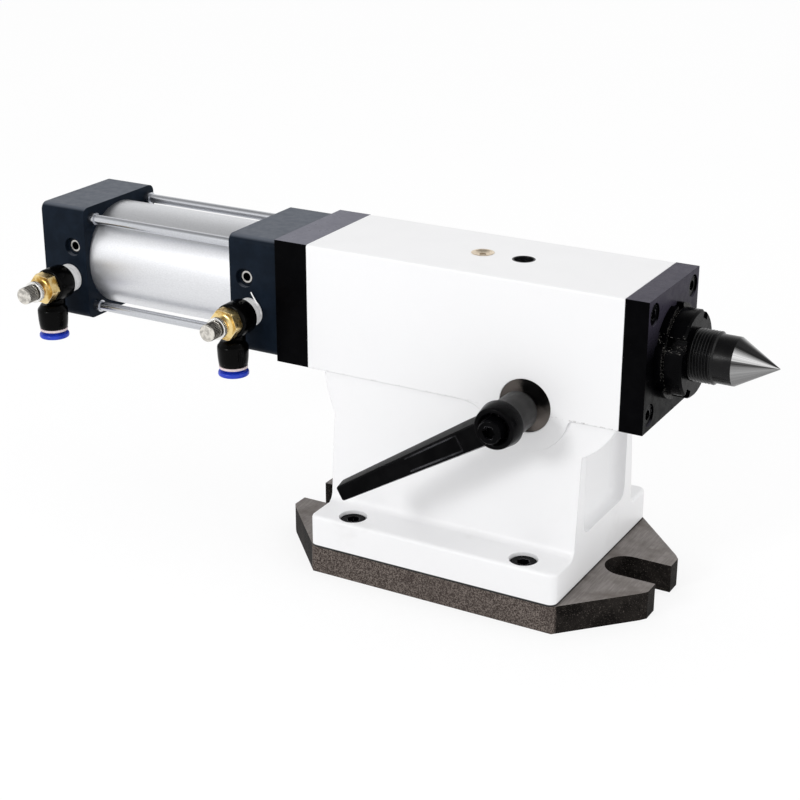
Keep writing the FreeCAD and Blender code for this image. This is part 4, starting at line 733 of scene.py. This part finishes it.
def arm_ring(x, inset, panel):
    """One section of the arm: a trapezoid with rounded corners; panel sinks part of its front."""
    share = x / ARM_LENGTH
    back = between(ARM_BACK, share) / 2 - inset
    front = between(ARM_FRONT, share) / 2 - inset
    half = between(ARM_DEPTH, share) / 2 - inset
    cut = max(ARM_CORNER - inset * 0.3, 0.4) * 1.15
    corners = [Vector(corner) for corner in ((back, -half), (front, half), (-front, half), (-back, -half))]
    ring = []
    for index, corner in enumerate(corners):
        start = corner + (corners[index - 1] - corner).normalized() * cut
        end = corner + (corners[(index + 1) % 4] - corner).normalized() * cut
        for step in spaced(0, 1, 6):
            ring.append(tuple(start * (1 - step) ** 2 + corner * 2 * step * (1 - step) + end * step ** 2))
        if index == 1:
            wall = front - cut - 0.5
            for fraction in (1.0, 0.93, 0.5, 0.0, -0.5, -0.93, -1.0):
                sunk = panel if abs(fraction) < 0.95 else 0.0
                ring.append((wall * fraction, half - sunk))
    rise = between(ARM_MIDDLE, share)
    return [lever_point(x, y, max(rise + z, 0.02)) for y, z in ring]


def lever_arm():
    """Points and faces of the tapered arm, with the sunk panel in its front and a rounded tip."""
    panel_start, panel_end = PANEL
    stations = [(x, 0.0, 0.0) for x in (0.0, 8.0, 16.0, panel_start - PANEL_SLOPE)]
    stations += [(x, 0.0, PANEL_DEPTH) for x in spaced(panel_start, panel_end, 6)]
    stations += [(x, 0.0, 0.0) for x in (panel_end + PANEL_SLOPE, 58.0, 70.0, 80.0)]
    for turn in spaced(0, math.pi / 2, 6):
        inset = ARM_TIP_CURVE * (1 - math.cos(turn)) * 0.8
        stations.append((ARM_LENGTH - ARM_TIP_CURVE + ARM_TIP_CURVE * math.sin(turn), inset, 0.0))
    rings = [arm_ring(*station) for station in stations]
    faces = [tuple(reversed(face)) for face in skin(len(rings), len(rings[0]))]
    return [spot for ring in rings for spot in ring], faces


def lever_hub():
    """Points and faces of the hub: web with its bore, cone with a rolled rim, and recess for the screw."""
    axes = (Vector((0, -1, 0)), Vector((-math.cos(LEVER_ANGLE), 0, -math.sin(LEVER_ANGLE))),
            Vector((-math.sin(LEVER_ANGLE), 0, math.cos(LEVER_ANGLE))))
    web = [(-7.7, 3.3), (-7.7, 6.6), (-4.7, 6.6), (-4.7, 8.1), (0.0, 8.1)]
    cone = [(0.0, 11.4), (0.15, 11.68), (0.5, 11.78), (8.2, 10.45)]
    rim = [(8.65, 10.25), (8.92, 9.9), (9.0, 9.4), (9.0, 8.7), (8.88, 8.25), (8.55, 7.9), (8.0, 7.6),
           (7.4, 7.45), (7.0, 7.4)]
    recess = [(2.0, 7.4), (2.0, 5.0), (-6.3, 5.0), (-6.3, 3.3)]
    return revolved((CLAMP_X, HUB_FACE, CLAMP_Z), axes, web + cone + rim + recess, 80, closed=True)


def lever():
    """The handle in two pieces: the arm, cut away round the hub's axis, and the hub."""
    arm = piece("lever_arm", *lever_arm(), ["lever_black"], "lever_handle", (), 40)
    bore_profile = [(0.0, ARM_BORE), (40.0, ARM_BORE)]
    bore_shape = revolved((CLAMP_X, HUB_FACE + 1, CLAMP_Z), ALONG_Y_OUT, bore_profile, 64)
    bore = bpy.data.objects.new("bore", in_metres("bore", *bore_shape))
    bpy.context.scene.collection.objects.link(bore)
    cutter = arm.modifiers.new("bore", "BOOLEAN")
    cutter.operation = "DIFFERENCE"
    cutter.solver = "EXACT"
    cutter.object = bore
    cut_mesh = bpy.data.meshes.new_from_object(arm.evaluated_get(bpy.context.evaluated_depsgraph_get()))
    arm.modifiers.clear()
    arm.data = cut_mesh
    cut_mesh.materials.clear()
    cut_mesh.materials.append(MATERIALS["lever_black"])
    smoothed(cut_mesh, 40)
    bpy.data.objects.remove(bore)
    piece("lever_hub", *lever_hub(), ["lever_black"], "lever_handle", ["lever_handle"], 40)


def return_spring():
    """Coiled spring between the hub's web and the screw's head, pressed as the lever lifts."""
    turns, around, sides = 5, 28, 8
    wire, coil = 0.5, 4.15
    count = turns * around
    points = []
    for step, out in enumerate(spaced(-5.65, 5.05, count)):
        turn = 2 * math.pi * step / around
        outward = Vector((math.cos(turn), 0, math.sin(turn)))
        core = Vector((CLAMP_X, HUB_FACE - out, CLAMP_Z)) + outward * coil
        for side in range(sides):
            lean = 2 * math.pi * side / sides
            points.append(core + (outward * math.cos(lean) + Vector((0, 1, 0)) * math.sin(lean)) * wire)
    spring = piece("lever_spring_coil", points, skin(count + 1, sides), ["turned_steel"], "lever",
                   ["lever_spring"], 60)
    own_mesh(spring)


# Speed controllers

def port_at(which, out=0.0):
    """A cap's port, or a place straight out from it."""
    x, y, z = PORTS[which]
    return (x, y - out, z)


def stem(which):
    """Brass stem: thread, journal, chamfered hexagon, hollowed neck and tail."""
    start, end = HEXAGON
    profile = [(-9.0, 5.9), (-8.4, STEM_THREAD_RADIUS)]
    profile += [(place, STEM_THREAD_RADIUS) for place in spaced(-8.2, -0.2, 60)]
    profile += [(0.0, 6.0), (start - 0.05, 6.0)]
    hexagon = [(start, 7.2), (start + 0.05, 8.3), (start + 0.4, 9.2), (end - 0.6, 9.2), (end - 0.05, 8.25),
               (end, 7.2)]
    neck = [(end - 0.1, 6.6), (end - 0.05, 6.1), (25.0, 5.5), (25.5, 4.9), (26.2, 4.5), (26.9, 4.5),
            (27.6, 4.8), (28.1, 5.3), (28.5, 5.5), (28.5, 3.2), (31.9, 3.2)]
    thread = threaded(-8.2, -0.2, STEM_THREAD_RADIUS, STEM_THREAD_DEPTH, STEM_THREAD_PITCH)

    def shape(place, turn, radius):
        if start + 0.02 < place < end - 0.02 and radius > 7.3:
            return min(radius, hexagon_radius(HEXAGON_FLATS, turn, HEXAGON_TURN))
        if -8.3 < place < -0.1:
            return thread(place, turn, radius)
        return radius

    points, faces = revolved(port_at(which), ALONG_Y_OUT, profile + hexagon + neck, 96, shape)
    name = f"{which}_stem"
    piece(f"{name}_turned", points, faces, ["brass"], "frame", [name], 24)


def banded(which, points, faces, inner, outer, crest):
    """Faces between two distances out from the port take the second finish; those among them nearer the axis
    than the crest, in the valleys between teeth, take the third, darker finish as painted shade.
    """
    finish = []
    for face in faces:
        x, y, z = sum((points[spot] for spot in face), Vector()) / len(face)
        away = math.hypot(x - PORTS[which][0], z - PORTS[which][2])
        in_band = inner < PORTS[which][1] - y < outer
        finish.append((2 if away < crest else 1) if in_band else 0)
    return finish


def knob(which):
    """Knurled needle knob with its shaft."""
    profile = [(0.0, 2.3), (31.95, 2.3), (32.0, 4.0), (32.3, 4.5)]
    profile += [(place, KNOB_RADIUS) for place in spaced(32.4, 38.4, 6)]
    profile += [(38.5, 4.5), (38.9, 4.45), (39.3, 4.1), (39.3, 3.3), (39.15, 3.0), (39.15, 0.02)]
    teeth = toothed(KNOB_RADIUS, 0.045, KNOB_TOOTH_DEPTH, KNOB_TEETH)
    points, faces = revolved(port_at(which), ALONG_Y_OUT, profile, 136, teeth)
    name = f"{which}_knob"
    # Valleys between the teeth take the darkest finish, as painted shade
    piece(f"{name}_turned", points, faces, ["knob_face", "knurled", "knurl_valley_shade"], name, [name], 30,
          banded(which, points, faces, 32.0, 38.45, 4.37))


def lock_ring(which):
    """Knurled lock ring with a smooth collar, below the knob."""
    profile = [(28.55, 3.3), (28.55, 5.3), (28.7, 5.6)]
    profile += [(place, RING_RADIUS) for place in spaced(28.8, 30.3, 3)]
    profile += [(30.4, 5.6), (30.5, 5.8), (31.2, 5.8), (31.5, 5.4), (31.5, 3.3)]
    teeth = toothed(RING_RADIUS, 0.03, RING_TOOTH_DEPTH, RING_TEETH)
    points, faces = revolved(port_at(which), ALONG_Y_OUT, profile, 160, teeth, closed=True)
    name = f"{which}_lock_ring"
    # Valleys between the teeth take the darker knurled finish, as painted shade
    piece(f"{name}_turned", points, faces, ["bright_ring", "bright_ring", "knurled"], name, [name], 30,
          banded(which, points, faces, 28.7, 30.35, 5.6))


def elbow(which):
    """Black swivel elbow: a ring with softened edges and a barrel with a sloping shoulder."""
    ring = [(6.5, 6.1), (6.5, 8.3), (6.8, 8.9), (7.3, 9.25), (8.0, 9.4), (17.6, 9.4), (18.3, 9.15),
            (18.7, 8.7), (18.8, 8.1), (18.8, 6.1)]
    barrel = [(-24.0, 6.0), (-24.0, 7.0), (-23.8, 7.35), (-23.3, 7.6), (-21.5, 7.85), (-19.0, 8.1),
              (-15.0, 8.25), (-13.6, 8.2), (-13.0, 8.0), (-12.4, 7.5), (-11.4, 6.8), (-10.7, 6.4),
              (-10.4, 6.0), (-10.3, 5.4), (-10.3, 0.05), (-12.9, 0.05), (-13.0, 6.0)]
    web = [(-14.0, 5.1), (-6.0, 5.1)]
    points, faces = merged(revolved(port_at(which), ALONG_Y_OUT, ring, 80, closed=True),
                           revolved(port_at(which, BARREL_OUT), ALONG_Z, barrel, 72, closed=True),
                           revolved(port_at(which, 13.5), ALONG_Z, web, 48))
    name = f"{which}_elbow"
    piece(f"{name}_moulded", points, faces, ["black_plastic"], name, [name], 34)


def collet(which):
    """Blue release collet, with its flange and the sleeve inside the barrel."""
    flange = [(-20.0, 4.1), (-20.0, 5.2), (-26.7, 5.2), (-26.75, 7.1), (-27.1, 7.85), (-27.7, 8.12),
              (-28.7, 8.12), (-29.1, 7.9), (-29.3, 7.3), (-29.3, 4.6), (-28.9, 4.1)]
    points, faces = revolved(port_at(which, BARREL_OUT), ALONG_Z, flange, 72, closed=True)
    name = f"{which}_collet"
    piece(f"{name}_moulded", points, faces, ["blue_plastic"], name, [name], 34)


def oiler():
    """Press-in oiler cup: a thin flange on the paint and a dish down to its ball."""
    cup = [(-7.0, 1.0), (-7.0, 4.95), (0.0, 4.95), (0.02, 5.7), (0.18, 5.85), (0.3, 5.6), (0.3, 4.6),
           (0.1, 4.3), (-0.7, 2.2), (-0.8, 1.7), (-5.0, 1.7), (-5.0, 1.0)]
    points, faces = revolved((OILER_X, 0, TOP_Z), ALONG_Z, cup, 64, closed=True)
    piece("oiler_cup", points, faces, ["pale_brass"], "frame", ["oiler_body"], 30)


def tape_end():
    """The loose end of white sealing tape at the front port."""
    x, y, z = port_at("front", 1.0)
    path = [(1.6, 11.3), (2.9, 9.2), (4.3, 7.2), (5.6, 5.3), (6.8, 3.4), (7.6, 1.6), (7.9, 0.2)]
    sides = 8
    points = []
    for index, (ahead, up) in enumerate(path):
        before, after = path[max(index - 1, 0)], path[min(index + 1, len(path) - 1)]
        way = Vector((after[0] - before[0], 0, after[1] - before[1])).normalized()
        across = way.cross(Vector((0, 1, 0)))
        thick = 0.42 if index < len(path) - 2 else 0.3
        for step in range(sides):
            turn = 2 * math.pi * step / sides
            spot = Vector((x + ahead, y, z + up)) + across * math.cos(turn) * thick
            points.append(spot + Vector((0, 1, 0)) * math.sin(turn) * thick * 0.6)
    piece("front_tape_end", points, skin(len(path), sides), ["white_seal"], "frame", (), 60)


dead_centre()
lever()
return_spring()
for end in PORTS:
    stem(end)
    knob(end)
    lock_ring(end)
    elbow(end)
    collet(end)
oiler()
tape_end()


# Floor, light and camera

def area(name, place, aim, size, power):
    """A soft square lamp that looks at a point; places in metres, power in watts."""
    lamp = bpy.data.lights.new(name, "AREA")
    lamp.energy = power
    lamp.size = size
    shown = bpy.data.objects.new(name, lamp)
    shown.location = place
    shown.rotation_euler = (Vector(aim) - Vector(place)).to_track_quat("-Z", "Y").to_euler()
    bpy.context.scene.collection.objects.link(shown)


def floor():
    """A wide pale floor under the object."""
    reach = 6.0
    mesh = bpy.data.meshes.new("floor")
    corners = [(-reach, -reach, 0), (reach, -reach, 0), (reach, reach, 0), (-reach, reach, 0)]
    mesh.from_pydata(corners, [], [(0, 1, 2, 3)])
    mesh.materials.append(white_floor())
    shown = bpy.data.objects.new("floor", mesh)
    bpy.context.scene.collection.objects.link(shown)


def sky():
    """A white room: even light, white to the camera, and darker overhead in reflections."""
    world = bpy.data.worlds.new("studio")
    bpy.context.scene.world = world
    world.use_nodes = True
    tree = world.node_tree
    background = tree.nodes["Background"]
    background.inputs["Color"].default_value = (1, 1, 1, 1)
    rays = tree.nodes.new("ShaderNodeLightPath").outputs
    way = tree.nodes.new("ShaderNodeTexCoord")
    height = tree.nodes.new("ShaderNodeSeparateXYZ")
    tree.links.new(way.outputs["Generated"], height.inputs[0])

    def ranged(*values):
        """A value, taken from a low and a high end to two others."""
        made = tree.nodes.new("ShaderNodeMapRange")
        for value, target in zip(values, made.inputs):
            if isinstance(value, bpy.types.NodeSocket):
                tree.links.new(value, target)
            else:
                target.default_value = value
        return made.outputs[0]

    overhead = ranged(height.outputs[2], 0.5, 0.9, 1.0, 0.25)
    plain = ranged(rays["Is Glossy Ray"], 0.0, 1.0, ROOM_LIGHT, overhead)
    tree.links.new(ranged(rays["Is Camera Ray"], 0.0, 1.0, plain, 1.0), background.inputs["Strength"])


def photo_camera():
    """The photograph's viewpoint, from the fit of its edges."""
    azimuth, elevation, roll = math.radians(29.2176), math.radians(21.8193), math.radians(0.1454)
    place = (0.36434, -0.73912, 0.41874)
    back = Vector((math.sin(azimuth) * math.cos(elevation), -math.cos(azimuth) * math.cos(elevation),
                   math.sin(elevation)))
    right = Vector((math.cos(azimuth), math.sin(azimuth), 0))
    up = back.cross(right)
    across = right * math.cos(roll) + up * math.sin(roll)
    upward = up * math.cos(roll) - right * math.sin(roll)
    lens = bpy.data.cameras.new("photo")
    lens.lens = 77.615
    lens.sensor_width = 36.0
    lens.clip_start = 0.05
    camera = bpy.data.objects.new("photo", lens)
    turn = Matrix((across, upward, back)).transposed().to_4x4()
    camera.matrix_world = Matrix.Translation(place) @ turn
    bpy.context.scene.collection.objects.link(camera)
    bpy.context.scene.camera = camera


floor()
sky()
area("key", (-0.43, -1.2, 0.68), (0.0, 0.0, 0.09), 0.28, 5.4)
area("side", (1.5, 0.1, 0.45), (0.0, 0.0, 0.1), 0.8, 3.4)
photo_camera()
bpy.context.scene.view_settings.view_transform = "Standard"
